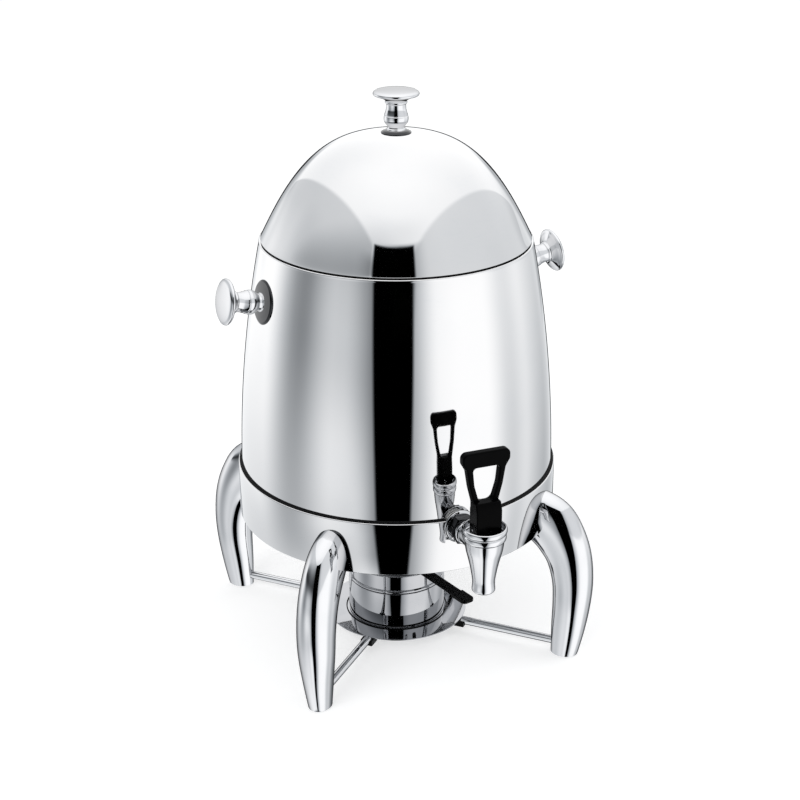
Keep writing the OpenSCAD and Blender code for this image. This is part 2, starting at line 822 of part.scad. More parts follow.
module shutter_handle() {
    color(black) rotate([0, 0, shutter_angle]) translate([0, 0, strip_z])
        linear_extrude(height = strip_t) difference() {
            union() {
                translate([0, -strip_w / 2]) square([shutter_reach - 1 - 4, strip_w]);
                translate([shutter_reach - 5, -strip_w / 2 + 4]) square([4, strip_w - 8]);
                circle(r = strip_w / 2);
                for (y = [-1, 1]) translate([shutter_reach - 5, y * (strip_w / 2 - 4)])
                    circle(r = 4, $fn = 32);
            }
            circle(r = rivet_r + 0.02);
            // the flame's way through the strip, over the plate's own window
            translate([14, -4]) square([17, 8]);
        }
}

module shutter_grip() {
    wrap = 0.9;
    r = 4.5;
    half = strip_w / 2 + wrap;
    color(black) rotate([0, 0, shutter_angle]) translate([0, 0, strip_z - wrap]) difference() {
        linear_extrude(height = strip_t + 2 * wrap) union() {
            translate([grip_at, -half]) square([shutter_reach - grip_at - r, 2 * half]);
            translate([shutter_reach - r, -half + r]) square([r, 2 * half - 2 * r]);
            for (y = [-1, 1]) translate([shutter_reach - r, y * (half - r)]) circle(r = r, $fn = 32);
        }
        translate([grip_at - 1, -strip_w / 2 - 0.05, wrap - 0.05])
            cube([shutter_reach - grip_at, strip_w + 0.1, strip_t + 0.1]);
    }
}

module pivot_rivet() {
    color(steel) {
        translate([0, 0, cover_top - plate_t - 1.6]) cylinder(h = 1.5, r = 5);
        translate([0, 0, cover_top - plate_t - 1.6])
            cylinder(h = strip_z + strip_t - cover_top + plate_t + 2.9, r = rivet_r);
        translate([0, 0, strip_z + strip_t + 0.05]) cylinder(h = 1.3, r = 4.8);
    }
}

base_ring();
ring_shelf();
seat_gasket();
leg_front_left();
leg_front_right();
leg_back_left();
leg_back_right();
foot_pads();
leg_screws();
tie_rods();
rod_lugs();
burner_tray();
tray_screws();
pot_locating_ring();
outer_shell();
base_pan();
heat_plate();
inner_container();
rim_ring();
handle_knob_left();
handle_knob_right();
handle_rosette_left();
handle_rosette_right();
handle_studs();
handle_nuts();
tap_shank();
tap_spacer();
tap_escutcheon();
tap_lock_nut();
tap_inner_gasket();
tap_back_nut();
tap_body();
tap_bonnet();
tap_stem();
tap_seat_cup();
tap_spring();
tap_lever();
lever_pin();
lid_dome();
lid_skirt();
lid_seal();
lid_rosette();
lid_knob();
lid_knob_screw();
lid_washer();
fuel_pot();
pot_cover();
shutter_plate();
shutter_handle();
shutter_grip();
pivot_rivet();
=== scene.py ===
# %% [markdown]
# # A polished coffee urn on its burner stand
# This lesson dresses a working model of a coffee urn. The model arrives as a fixed frame of named
# parts, and every new piece is modelled around it at the same place and size, in metres.

# %% The frame
import json
from math import atan2, cos, degrees, pi, pow, radians, sin, sqrt, tan

import bpy
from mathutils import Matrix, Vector


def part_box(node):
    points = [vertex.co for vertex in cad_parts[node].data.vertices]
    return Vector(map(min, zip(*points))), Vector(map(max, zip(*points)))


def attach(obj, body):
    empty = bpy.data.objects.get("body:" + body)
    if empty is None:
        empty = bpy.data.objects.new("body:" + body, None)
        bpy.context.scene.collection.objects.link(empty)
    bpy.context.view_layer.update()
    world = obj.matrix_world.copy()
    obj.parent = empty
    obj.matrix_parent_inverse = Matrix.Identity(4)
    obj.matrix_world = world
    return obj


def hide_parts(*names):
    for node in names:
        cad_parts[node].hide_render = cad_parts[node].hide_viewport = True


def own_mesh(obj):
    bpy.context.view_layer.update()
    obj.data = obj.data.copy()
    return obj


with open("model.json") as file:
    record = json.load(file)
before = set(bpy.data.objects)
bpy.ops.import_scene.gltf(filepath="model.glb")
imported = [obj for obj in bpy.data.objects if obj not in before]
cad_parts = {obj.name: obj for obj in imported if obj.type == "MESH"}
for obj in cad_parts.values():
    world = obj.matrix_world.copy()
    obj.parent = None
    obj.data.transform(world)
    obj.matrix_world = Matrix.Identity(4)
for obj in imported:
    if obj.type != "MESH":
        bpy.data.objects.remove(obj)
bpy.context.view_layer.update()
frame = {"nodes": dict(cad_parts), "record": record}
MM = 0.001


def reach(node):
    """The lowest and the highest corner of a node of the frame, in millimetres."""
    low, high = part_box(node)
    return low / MM, high / MM


def levels(node):
    """The heights at which a node of the frame starts and ends, in millimetres."""
    return [corner.z for corner in reach(node)]


print("nodes in the frame:", len(frame["nodes"]))

# %% [markdown]
# ## The camera
# The urn is seen from a little above and from its left, with a long lens that keeps its sides
# nearly straight. The camera stands on a circle round the urn's axis, so one turn and one tilt
# say where it looks.

# %% The camera
CAMERA_PLACE = Vector((-0.5417, -1.3637, 0.8537))
CAMERA_TILT = 67.25     # degrees from looking straight down
CAMERA_TURN = -21.8     # degrees round the urn, from the side of the tap
LENS = 74.25            # millimetres, on a sensor 36 wide

bpy.ops.object.camera_add(
    location=CAMERA_PLACE, rotation=(radians(CAMERA_TILT), 0, radians(CAMERA_TURN))
)
camera = bpy.context.object
camera.name = "studio_camera"
camera.data.lens = LENS
bpy.context.scene.camera = camera
bpy.context.scene.view_settings.view_transform = "Standard"

# %% [markdown]
# ## The studio
# Polished metal has next to no look of its own: it shows the room. The room here is a white tent
# with a dark gap where the camera looks in, and grey side walls below a white ceiling. Behind the
# urn stand grey cards and bars with a black card between them, and the table under it is dark. All
# this could be built from real cards, but those would stand in the way of other views. So the
# world's shader works it out from the direction that a reflected ray takes: turn and height become
# two angles, and each card darkens a patch of them. The camera itself and matt surfaces get a
# plain white room.

# %% One studio card as a node group
def group_with(name, inputs, outputs):
    """A new shader node group with number or vector inputs and outputs."""
    tree = bpy.data.node_groups.new(name, "ShaderNodeTree")
    for label, kind, value in inputs:
        made = tree.interface.new_socket(label, in_out="INPUT", socket_type=kind)
        if value is not None:
            made.default_value = value
    for label, kind in outputs:
        tree.interface.new_socket(label, in_out="OUTPUT", socket_type=kind)
    return tree, tree.nodes.new("NodeGroupInput"), tree.nodes.new("NodeGroupOutput")


def calculated(tree, operation, *values):
    """A Math node whose inputs are numbers or other nodes' outputs."""
    node = tree.nodes.new("ShaderNodeMath")
    node.operation = operation
    for socket, value in zip(node.inputs, values):
        if isinstance(value, (int, float)):
            socket.default_value = value
        else:
            tree.links.new(value, socket)
    return node.outputs[0]


def eased(tree, value, start, end):
    """0 to 1 in a soft step as value goes from start to end."""
    node = tree.nodes.new("ShaderNodeMapRange")
    node.interpolation_type = "SMOOTHSTEP"
    for label, source in (("Value", value), ("From Min", start), ("From Max", end)):
        if isinstance(source, (int, float)):
            node.inputs[label].default_value = source
        else:
            tree.links.new(source, node.inputs[label])
    return node.outputs[0]


NUMBER = "NodeSocketFloat"
CARD_INPUTS = ["Turn", "Height", "Middle", "Half Width", "Flare", "Side Blur", "Low", "Low Blur",
               "High", "High Blur", "Darkness"]


def build_card_group():
    """Light that a card leaves: 1 outside its patch of directions, 1 - Darkness inside."""
    tree, given, result = group_with(
        "studio_card", [(label, NUMBER, 0.0) for label in CARD_INPUTS], [("Light", NUMBER)]
    )
    at = given.outputs
    apart = calculated(tree, "SUBTRACT", at["Turn"], at["Middle"])
    apart = calculated(tree, "WRAP", apart, 180, -180)
    apart = calculated(tree, "ABSOLUTE", apart)
    half = calculated(tree, "MULTIPLY", at["Flare"], at["Height"])
    half = calculated(tree, "ADD", half, at["Half Width"])

    def step(value, edge, blur, start, end):
        ends = [calculated(tree, operation, edge, blur) for operation in (start, end)]
        return eased(tree, value, *ends)

    side = step(apart, half, at["Side Blur"], "ADD", "SUBTRACT")
    low = step(at["Height"], at["Low"], at["Low Blur"], "SUBTRACT", "ADD")
    high = step(at["Height"], at["High"], at["High Blur"], "ADD", "SUBTRACT")
    patch = calculated(tree, "MULTIPLY", side, calculated(tree, "MULTIPLY", low, high))
    shade = calculated(tree, "MULTIPLY", patch, at["Darkness"])
    tree.links.new(calculated(tree, "SUBTRACT", 1.0, shade), result.inputs["Light"])
    return tree


card_group = build_card_group()

# %% The cards, in degrees: turn from the camera, to its right, and height above the horizon
# A flat card's height is measured along the way it faces, so its level top edge sinks to the sides.
#        facing, middle, half width, flare, side blur, low, low blur, high, high blur, darkness
CARDS = {
    "gap_for_the_camera": (None, -2.2, 15.6, 0.12, 1.4, -120, 15, 39.7, 0.5, 1.0),
    "over_the_gap": (None, -4.4, 30.8, 0, 24.8, -82, 12.7, 49.3, 5.6, 0.13),
    "left_of_the_gap": (None, -12.7, 8.8, 0, 18.2, -37, 7.6, 35.7, 1.8, 0.87),
    "right_of_the_gap": (None, 4.8, 11.9, 0, 16.1, -99, 6.8, 40.2, 0.9, 0.78),
    "left_wall": (-65, -87.2, 63.5, 0, 1.5, 15.4, 20.2, 47.3, 1.6, 0.30),
    "left_wall_in_shade": (-27, -44.1, 59.3, 0, 1.3, 6.2, 9.6, 32.1, 16.8, 0.91),
    "left_panel": (None, -80.9, 18.1, 0, 17.0, -29, 23.1, 18.3, 17.3, 0.67),
    "left_band": (None, -39.1, 40.5, 0, 11.0, -14.4, 8.8, 4.0, 6.1, 0.37),
    "left_floor": (None, -103.9, 73.5, 0, 8.4, -45.4, 22.8, -21.9, 13.2, 0.39),
    "right_wall": (59, 77.3, 70.4, 0, 3.0, 5.4, 2.1, 45.8, 1.5, 0.22),
    "right_panel": (None, 91.4, 11.5, 0, 10.7, -55.3, 9.5, -0.7, 30.0, 0.33),
    "right_floor": (None, 139.5, 27.2, 0, 31.3, -69.8, 14.3, -9.3, 30.0, 0.66),
    "left_bar": (None, -160.2, 6.6, 0, 7.9, -16.0, 6.2, 6.9, 3.6, 0.5),
    "right_bar": (None, 158.8, 4.8, 0, 5.2, -16.8, 1.0, 4.9, 3.4, 0.5),
    "high_haze": (None, -14.6, 149.5, 0, 32.8, 5.4, 6.8, 54.3, 27.2, 0.11),
    "left_back": (None, -150, 16, 0, 8, -10, 4, 5, 5, 0.22),
    "right_back": (None, 146, 14, 0, 6, -4, 4, 5, 5, 0.16),
    "behind_the_urn": (None, 180, 17, 0, 2.5, -62, 4, -1, 3, 1.0),
    "dark_table": (None, 0, 181, 0, 0.1, -120, 5, -65, 4, 0.85),
}
STUDIO_LIGHT = 1.41
PLAIN_LIGHT = 0.72
WHITE = (1, 1, 1, 1)
SHADED_TINT = (0.88, 0.94, 1.0, 1)
PLAIN_TINT = (0.98, 0.99, 1, 1)


def build_world():
    """White for the camera, the card room for reflections and an even light for the rest."""
    world = bpy.data.worlds.new("studio_world")
    world.use_nodes = True
    tree = world.node_tree
    tree.nodes.clear()
    place = tree.nodes.new("ShaderNodeTexCoord")
    turned_room = tree.nodes.new("ShaderNodeMapping")
    turned_room.inputs["Rotation"].default_value[2] = -radians(CAMERA_TURN)
    axes = tree.nodes.new("ShaderNodeSeparateXYZ")
    tree.links.new(place.outputs["Generated"], turned_room.inputs["Vector"])
    tree.links.new(turned_room.outputs["Vector"], axes.inputs["Vector"])
    back = calculated(tree, "MULTIPLY", axes.outputs["Y"], -1.0)
    turn = calculated(tree, "ARCTAN2", axes.outputs["X"], back)
    turn = calculated(tree, "DEGREES", turn)
    height = calculated(tree, "DEGREES", calculated(tree, "ARCSINE", axes.outputs["Z"]))
    light = 1.0
    for name, (facing, *values) in CARDS.items():
        card = tree.nodes.new("ShaderNodeGroup")
        card.node_tree = card_group
        card.label = name
        tree.links.new(turn, card.inputs["Turn"])
        card_height = height
        if facing is not None:
            across = calculated(tree, "MULTIPLY", axes.outputs["X"], sin(radians(facing)))
            along = calculated(tree, "MULTIPLY_ADD", back, cos(radians(facing)), across)
            card_height = calculated(tree, "ARCTAN2", axes.outputs["Z"], along)
            card_height = calculated(tree, "DEGREES", card_height)
        tree.links.new(card_height, card.inputs["Height"])
        for label, value in zip(CARD_INPUTS[2:], values):
            card.inputs[label].default_value = value
        light = calculated(tree, "MULTIPLY", light, card.outputs["Light"])
    tint = tree.nodes.new("ShaderNodeMix")
    tint.data_type = "RGBA"
    tree.links.new(light, tint.inputs["Factor"])
    tint.inputs["A"].default_value = SHADED_TINT
    tint.inputs["B"].default_value = WHITE
    rooms = {}
    for label in ("camera", "reflected", "plain"):
        rooms[label] = tree.nodes.new("ShaderNodeBackground")
    tree.links.new(tint.outputs["Result"], rooms["reflected"].inputs["Color"])
    strength = calculated(tree, "MULTIPLY", light, STUDIO_LIGHT)
    tree.links.new(strength, rooms["reflected"].inputs["Strength"])
    rooms["camera"].inputs["Color"].default_value = WHITE
    rooms["plain"].inputs["Color"].default_value = PLAIN_TINT
    rooms["plain"].inputs["Strength"].default_value = PLAIN_LIGHT
    ray = tree.nodes.new("ShaderNodeLightPath")
    shiny = calculated(
        tree, "MAXIMUM", ray.outputs["Is Glossy Ray"], ray.outputs["Is Transmission Ray"]
    )
    shown = rooms["plain"]
    for chosen, room in ((shiny, "reflected"), (ray.outputs["Is Camera Ray"], "camera")):
        mix = tree.nodes.new("ShaderNodeMixShader")
        tree.links.new(chosen, mix.inputs["Fac"])
        tree.links.new(shown.outputs[0], mix.inputs[1])
        tree.links.new(rooms[room].outputs[0], mix.inputs[2])
        shown = mix
    out = tree.nodes.new("ShaderNodeOutputWorld")
    tree.links.new(shown.outputs[0], out.inputs["Surface"])
    return world


bpy.context.scene.world = build_world()
print("studio cards:", len(CARDS))

# %% [markdown]
# ## Floor and lamps
# A pale floor carries the urn and keeps its soft shadow. Part of its brightness is emission that
# only the camera sees, so the floor runs into the white background without more light on the urn.
# Reflections look through it into the tent, whose dark gap runs on below the horizon. Two large
# soft lamps give the shadow a direction.

# %% Floor and lamps
FLOOR_SIZE = 40.0       # metres
FLOOR_GLOW = 0.53
FLOOR_TONE = 0.66
FLOOR_ROUGHNESS = 0.95
LAMP_AIM = Vector((0, 0, 0.25))
LAMP_SIZE = 1.8         # metres


def build_floor():
    """The pale floor, which glossy rays pass."""
    bpy.ops.mesh.primitive_plane_add(size=FLOOR_SIZE)
    floor = bpy.context.object
    floor.name = "studio_floor"
    floor.visible_glossy = False
    material = bpy.data.materials.new("studio_floor_paint")
    material.use_nodes = True
    tree = material.node_tree
    surface = tree.nodes["Principled BSDF"]
    surface.inputs["Base Color"].default_value = (FLOOR_TONE, FLOOR_TONE, FLOOR_TONE, 1)
    surface.inputs["Roughness"].default_value = FLOOR_ROUGHNESS
    surface.inputs["Specular IOR Level"].default_value = 0.0
    surface.inputs["Emission Color"].default_value = WHITE
    ray = tree.nodes.new("ShaderNodeLightPath")
    glow = calculated(tree, "MULTIPLY", ray.outputs["Is Camera Ray"], FLOOR_GLOW)
    tree.links.new(glow, surface.inputs["Emission Strength"])
    floor.data.materials.append(material)
    return floor


def soft_lamp(name, place, power):
    """A square lamp that looks at the middle of the urn and isn't seen in the polish."""
    bpy.ops.object.light_add(type="AREA", location=place)
    lamp = bpy.context.object
    lamp.name = name
    lamp.data.size = LAMP_SIZE
    lamp.data.energy = power
    lamp.visible_glossy = False
    way = LAMP_AIM - Vector(place)
    lamp.rotation_euler = way.to_track_quat("-Z", "Y").to_euler()
    return lamp


build_floor()
soft_lamp("left_lamp", (-2.2, -1.6, 2.6), 34)
soft_lamp("right_lamp", (2.4, -0.6, 2.2), 16)

# %% [markdown]
# ## Finishes
# Nearly all of the urn is bright metal, and what tells its parts apart is how well each is
# polished: spun and buffed sheet, chrome plate over castings, satin sheet inside, and machined
# brass. The castings' chrome darkens where it turns away, the knobs' much less. The rosettes and
# the tap's nut get a near-black metal, and the tray, pot and cover a darker steel: both are
# painted shade, standing for the shadowed surroundings that those parts reflect. Handling leaves
# faint smears in a polish, so two shared groups give smears and a fine directional grain, and
# each finish uses them with values of its own.

# %% Shared effects
VECTOR = "NodeSocketVector"


def noise_of(tree, vector, scale, detail):
    """A noise texture's value."""
    node = tree.nodes.new("ShaderNodeTexNoise")
    tree.links.new(vector, node.inputs["Vector"])
    node.inputs["Detail"].default_value = detail
    if isinstance(scale, (int, float)):
        node.inputs["Scale"].default_value = scale
    else:
        tree.links.new(scale, node.inputs["Scale"])
    return node.outputs[0]


def stretched(tree, vector, x, y, z):
    """The vector, multiplied along each axis."""
    node = tree.nodes.new("ShaderNodeMapping")
    node.inputs["Scale"].default_value = (x, y, z)
    tree.links.new(vector, node.inputs["Vector"])
    return node.outputs["Vector"]


def build_smear_group():
    """A mask from 0 to 1: soft finger smears crossed by fine wiping marks."""
    tree, given, result = group_with(
        "polish_smears", [("Vector", VECTOR, None), ("Scale", NUMBER, 20.0)], [("Mask", NUMBER)]
    )
    cloud = noise_of(tree, given.outputs["Vector"], given.outputs["Scale"], 3)
    cloud = eased(tree, cloud, 0.42, 0.72)
    wipes = stretched(tree, given.outputs["Vector"], 1.0, 1.0, 7.0)
    wipes = noise_of(tree, wipes, calculated(tree, "MULTIPLY", given.outputs["Scale"], 6.0), 2)
    wipes = eased(tree, wipes, 0.5, 0.8)
    marks = calculated(tree, "MULTIPLY", wipes, 0.5)
    mask = calculated(tree, "MULTIPLY", cloud, calculated(tree, "ADD", marks, 0.5))
    tree.links.new(mask, result.inputs["Mask"])
    return tree


def build_grain_group():
    """A mask of fine lines that run level round a turned or rolled piece."""
    tree, given, result = group_with(
        "level_grain", [("Vector", VECTOR, None), ("Fineness", NUMBER, 900.0)], [("Mask", NUMBER)]
    )
    lines = stretched(tree, given.outputs["Vector"], 0.03, 0.03, 1.0)
    lines = noise_of(tree, lines, given.outputs["Fineness"], 2)
    tree.links.new(eased(tree, lines, 0.3, 0.7), result.inputs["Mask"])
    return tree


smear_group = build_smear_group()
grain_group = build_grain_group()


# %% Tools for a finish
def plain_finish(name, **sockets):
    """A material with its surface's constant values set, and its tree for what varies."""
    material = bpy.data.materials.new(name)
    material.use_nodes = True
    surface = material.node_tree.nodes["Principled BSDF"]
    for label, value in sockets.items():
        surface.inputs[label.replace("_", " ")].default_value = value
    return material, material.node_tree, surface


def own_place(tree):
    """Object coordinates, which stay on a piece as it moves."""
    return tree.nodes.new("ShaderNodeTexCoord").outputs["Object"]


def mask_of(tree, group, label, value):
    """The mask that a shared group gives."""
    node = tree.nodes.new("ShaderNodeGroup")
    node.node_tree = group
    node.inputs[label].default_value = value
    tree.links.new(own_place(tree), node.inputs["Vector"])
    return node.outputs["Mask"]


def between(tree, mask, low, high, socket):
    """Feeds a socket with a number between low and high, by the mask."""
    node = tree.nodes.new("ShaderNodeMapRange")
    node.inputs["To Min"].default_value = low
    node.inputs["To Max"].default_value = high
    tree.links.new(mask, node.inputs["Value"])
    tree.links.new(node.outputs[0], socket)


def worn(tree, surface, mask, tones, roughness):
    """Mixes two colours and two roughnesses on a surface, by the mask."""
    node = tree.nodes.new("ShaderNodeMix")
    node.data_type = "RGBA"
    node.inputs["A"].default_value = (*tones[0], 1)
    node.inputs["B"].default_value = (*tones[1], 1)
    tree.links.new(mask, node.inputs["Factor"])
    tree.links.new(node.outputs["Result"], surface.inputs["Base Color"])
    between(tree, mask, *roughness, surface.inputs["Roughness"])


def relief(tree, surface, height, depth):
    """Bumps of a depth in metres on a surface."""
    node = tree.nodes.new("ShaderNodeBump")
    node.inputs["Strength"].default_value = 1.0
    node.inputs["Distance"].default_value = depth
    tree.links.new(height, node.inputs["Height"])
    tree.links.new(node.outputs["Normal"], surface.inputs["Normal"])


# %% Bright metals
def smeared_metal(name, scale, tones, roughness, edge=1.0):
    """A polished metal with smears, and darker by the edge where it turns away."""
    dimmed = (edge, edge, edge, 1)
    material, tree, surface = plain_finish(name, Metallic=1.0, Specular_Tint=dimmed)
    worn(tree, surface, mask_of(tree, smear_group, "Scale", scale), tones, roughness)
    return material


def polished_steel():
    """Buffed sheet: a mirror with faint smears and the slightest waves of the sheet."""
    material = smeared_metal(
        "polished_steel_finish", 16.0, ((0.70, 0.70, 0.705), (0.675, 0.68, 0.69)), (0.025, 0.06)
    )
    tree = material.node_tree
    waves = noise_of(tree, own_place(tree), 14.0, 1)
    relief(tree, tree.nodes["Principled BSDF"], waves, 0.00003)
    return material


def chrome_plate(name, edge):
    """A clean, slightly blue mirror."""
    return smeared_metal(
        name, 42.0, ((0.69, 0.695, 0.71), (0.66, 0.67, 0.685)), (0.03, 0.075), edge
    )


def satin_steel():
    """Rolled sheet and screws, with their grain left in."""
    material, tree, surface = plain_finish("satin_steel_finish", Metallic=1.0, Anisotropic=0.35)
    grain = mask_of(tree, grain_group, "Fineness", 1400.0)
    worn(tree, surface, grain, ((0.58, 0.59, 0.61), (0.70, 0.71, 0.72)), (0.24, 0.36))
    relief(tree, surface, grain, 0.00001)
    return material


def machined_brass():
    """Turned brass, a little dulled."""
    material, tree, surface = plain_finish("machined_brass_finish", Metallic=1.0)
    grain = mask_of(tree, grain_group, "Fineness", 1800.0)
    worn(tree, surface, grain, ((0.66, 0.50, 0.24), (0.76, 0.60, 0.32)), (0.22, 0.38))
    return material


# %% Plastic, enamel and rubber
def coated_black(name, gloss, grain_scale, detail, depth, smear_scale, tones, roughness):
    """Moulded plastic or stove enamel: deep black, with its texture as fine bumps."""
    material, tree, surface = plain_finish(name, Specular_IOR_Level=gloss)
    grain = noise_of(tree, own_place(tree), grain_scale, detail)
    worn(tree, surface, mask_of(tree, smear_group, "Scale", smear_scale), tones, roughness)
    relief(tree, surface, grain, depth)
    return material


def moulded_rubber(name, dark, light, low, high):
    """Rubber or silicone: matt, with a soft fine texture."""
    material, tree, surface = plain_finish(name, Specular_IOR_Level=0.15)
    grain = noise_of(tree, own_place(tree), 1100.0, 3)
    worn(tree, surface, grain, (dark, light), (low, high))
    relief(tree, surface, grain, 0.00004)
    return material


FINISHES = {
    "polished_steel": polished_steel(),
    "chrome_plate": chrome_plate("chrome_plate_finish", 0.1),
    "plain_steel": satin_steel(),
    "plated_brass": machined_brass(),
    "heat_aluminium": smeared_metal(
        "rolled_aluminium_finish", 30.0, ((0.74, 0.75, 0.76), (0.60, 0.61, 0.63)), (0.30, 0.46)
    ),
    "black_plastic": coated_black(
        "black_plastic_finish", 0.03, 1900.0, 2, 0.00002, 55.0,
        ((0.0008, 0.0008, 0.0009), (0.002, 0.002, 0.0022)), (0.22, 0.34),
    ),
    "black_enamel": coated_black(
        "black_enamel_finish", 0.06, 420.0, 1, 0.00003, 60.0,
        ((0.001, 0.001, 0.0011), (0.003, 0.003, 0.0033)), (0.14, 0.26),
    ),
    "black_rubber": moulded_rubber(
        "black_rubber_finish", (0.002, 0.002, 0.0022), (0.005, 0.005, 0.0055), 0.6, 0.8
    ),
    "white_silicone": moulded_rubber(
        "white_silicone_finish", (0.72, 0.72, 0.70), (0.80, 0.80, 0.78), 0.4, 0.55
    ),
}
TURNED = chrome_plate("turned_chrome_finish", 0.6)
# Painted shade: a darker steel for the tray, pot and cover, for the shadowed table that they
# reflect.
SHADE_PAINTED_STEEL = smeared_metal(
    "painted_shade_steel_finish", 34.0, ((0.45, 0.455, 0.47), (0.39, 0.40, 0.42)), (0.03, 0.08)
)
# Painted shade: a near-black metal for the rosettes and the lock nut, for the dark that they
# reflect.
SHADE_PAINTED_NICKEL = smeared_metal(
    "painted_shade_nickel_finish", 50.0, ((0.05, 0.051, 0.054), (0.035, 0.036, 0.039)), (0.05, 0.1)
)
for part in frame["record"]["subparts"]:
    for socket in frame["nodes"][part["node"]].material_slots:
        socket.material = FINISHES[part["material_slot"]]
for hidden in ("lid_knob_screw", "lid_washer", "handle_studs"):
    frame["nodes"][hidden].visible_glossy = False
print("finishes:", ", ".join(FINISHES))

# %% [markdown]
# ## Tools for modelling
# Most of the urn is spun, turned or pressed, so most pieces start as an outline. One vertex is
# extruded from point to point, and the line is then spun round the axis or filled and extruded
# to a slab. Corners are rounded in the outline itself, because a mirror shows every edge.

# %% Outlines
def rounded(corners, steps=5):
    """Outline points from corners (x, y, radius), each with an arc of its radius."""
    points = []
    for k, (x, y, radius) in enumerate(corners):
        here = Vector((x, y))
        if radius == 0:
            points.append((x, y))
            continue
        back = (Vector(corners[k - 1][:2]) - here).normalized()
        ahead = (Vector(corners[(k + 1) % len(corners)][:2]) - here).normalized()
        half = back.angle(ahead) / 2
        centre = here + (back + ahead).normalized() * radius / sin(half)
        start = here + back * radius / tan(half) - centre
        end = here + ahead * radius / tan(half) - centre
        first = atan2(start.y, start.x)
        sweep = atan2(end.y, end.x) - first
        sweep = (sweep + pi) % (2 * pi) - pi
        for s in range(steps + 1):
            a = first + sweep * s / steps
            points.append((centre.x + radius * cos(a), centre.y + radius * sin(a)))
    return points


def smooth_through(stations, steps):
    """Rows on a smooth curve through the stations, with so many steps between each two."""
    rows = [Vector(s) for s in stations]
    ends = [rows[0], *rows, rows[-1]]
    curve = []
    for a, b, c, d in zip(ends, ends[1:], ends[2:], ends[3:]):
        for t in (k / steps for k in range(steps)):
            bend = (2 * a - 5 * b + 4 * c - d) * t**2 + (3 * b - a - 3 * c + d) * t**3
            curve.append((2 * b + (c - a) * t + bend) / 2)
    return [tuple(p) for p in curve + [rows[-1]]]


# %% From outline to piece
def only(piece):
    """Makes the piece the one that operators act on."""
    bpy.ops.object.select_all(action="DESELECT")
    piece.select_set(True)
    bpy.context.view_layer.objects.active = piece


def line_of_edges(name, points):
    """A line of edges through points (x, y, z) in millimetres, left in edit mode."""
    bpy.ops.object.select_all(action="DESELECT")
    bpy.ops.mesh.primitive_plane_add(size=MM)
    piece = bpy.context.object
    piece.name = piece.data.name = name
    bpy.ops.object.mode_set(mode="EDIT")
    bpy.ops.mesh.select_all(action="SELECT")
    bpy.ops.mesh.merge(type="CENTER")
    bpy.ops.transform.translate(value=Vector(points[0]) * MM)
    for start, end in zip(points, points[1:]):
        step = (Vector(end) - Vector(start)) * MM
        bpy.ops.mesh.extrude_vertices_move(TRANSFORM_OT_translate={"value": step})
    return piece


SMOOTH_UP_TO = 32       # degrees between two faces that still shade as one


def closed_up(piece):
    """Merges doubles, points the faces outwards and shades the piece."""
    bpy.ops.mesh.select_all(action="SELECT")
    bpy.ops.mesh.remove_doubles(threshold=MM / 1000)
    bpy.ops.mesh.normals_make_consistent(inside=False)
    bpy.ops.object.mode_set(mode="OBJECT")
    only(piece)
    bpy.ops.object.shade_smooth_by_angle(angle=radians(SMOOTH_UP_TO))
    return piece


def spun(name, outline, steps=96):
    """A piece turned round the upright axis from (radius, height) points."""
    points = [(r, 0, z) for r, z in outline]
    if outline[0][0] > 0:
        points.append(points[0])
    piece = line_of_edges(name, points)
    bpy.ops.mesh.select_all(action="SELECT")
    bpy.ops.mesh.spin(steps=steps, angle=2 * pi, center=(0, 0, 0), axis=(0, 0, 1))
    return closed_up(piece)


def slab(name, outline, low, high):
    """A flat piece with an outline of (x, y) points, from height low to height high."""
    points = [(x, y, low) for x, y in outline]
    piece = line_of_edges(name, points + points[:1])
    bpy.ops.mesh.select_all(action="SELECT")
    bpy.ops.mesh.remove_doubles(threshold=MM / 1000)
    bpy.ops.mesh.edge_face_add()
    bpy.ops.mesh.extrude_region_move(TRANSFORM_OT_translate={"value": (0, 0, (high - low) * MM)})
    return closed_up(piece)


# %% Placing, cutting and dressing
def placed(piece, turn=(0, 0, 0), shift=(0, 0, 0)):
    """Turns a piece by degrees about X, Y and Z, shifts it by millimetres and applies both."""
    only(piece)
    piece.rotation_euler = [radians(a) for a in turn]
    piece.location = Vector(shift) * MM
    bpy.ops.object.transform_apply(location=True, rotation=True, scale=True)
    return piece


def modified(piece, kind, **settings):
    """Adds a modifier with its settings and applies it."""
    only(piece)
    bpy.ops.object.modifier_add(type=kind)
    modifier = piece.modifiers[-1]
    for label, value in settings.items():
        setattr(modifier, label, value)
    bpy.ops.object.modifier_apply(modifier=modifier.name)
    return piece


def joined(piece, other, operation):
    """Cuts the piece with another, or unites them, and removes the other."""
    modified(piece, "BOOLEAN", object=other, operation=operation, solver="EXACT")
    bpy.data.objects.remove(other)
    only(piece)
    bpy.ops.object.shade_smooth_by_angle(angle=radians(SMOOTH_UP_TO))
    return piece


def soft_edges(piece, width, segments=3, above=40):
    """Rounds the edges that turn by more than an angle."""
    modified(
        piece, "BEVEL", width=width * MM, segments=segments, limit_method="ANGLE",
        angle_limit=radians(above), harden_normals=True,
    )
    return piece


def copied(piece, name):
    """A copy with its own mesh."""
    twin = piece.copy()
    twin.data = piece.data.copy()
    twin.name = twin.data.name = name
    bpy.context.scene.collection.objects.link(twin)
    return twin


def dressed(piece, body, finish, *nodes, look=None):
    """Gives a finished piece its finish and body, and hides the nodes that it stands for."""
    piece.data.materials.clear()
    piece.data.materials.append(look or FINISHES[finish])
    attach(piece, body)
    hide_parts(*nodes)
    print(piece.name, len(piece.data.polygons), "faces")
    return piece


# %% [markdown]
# ## The vessel
# The wall is one spun sheet that leans in evenly and bows in towards its top. Its radius is a
# formula, so the outline is drawn up the outside, in by the sheet's thickness and down again. The
# CAD solid has straight stretches there, which a mirror would show as bands.

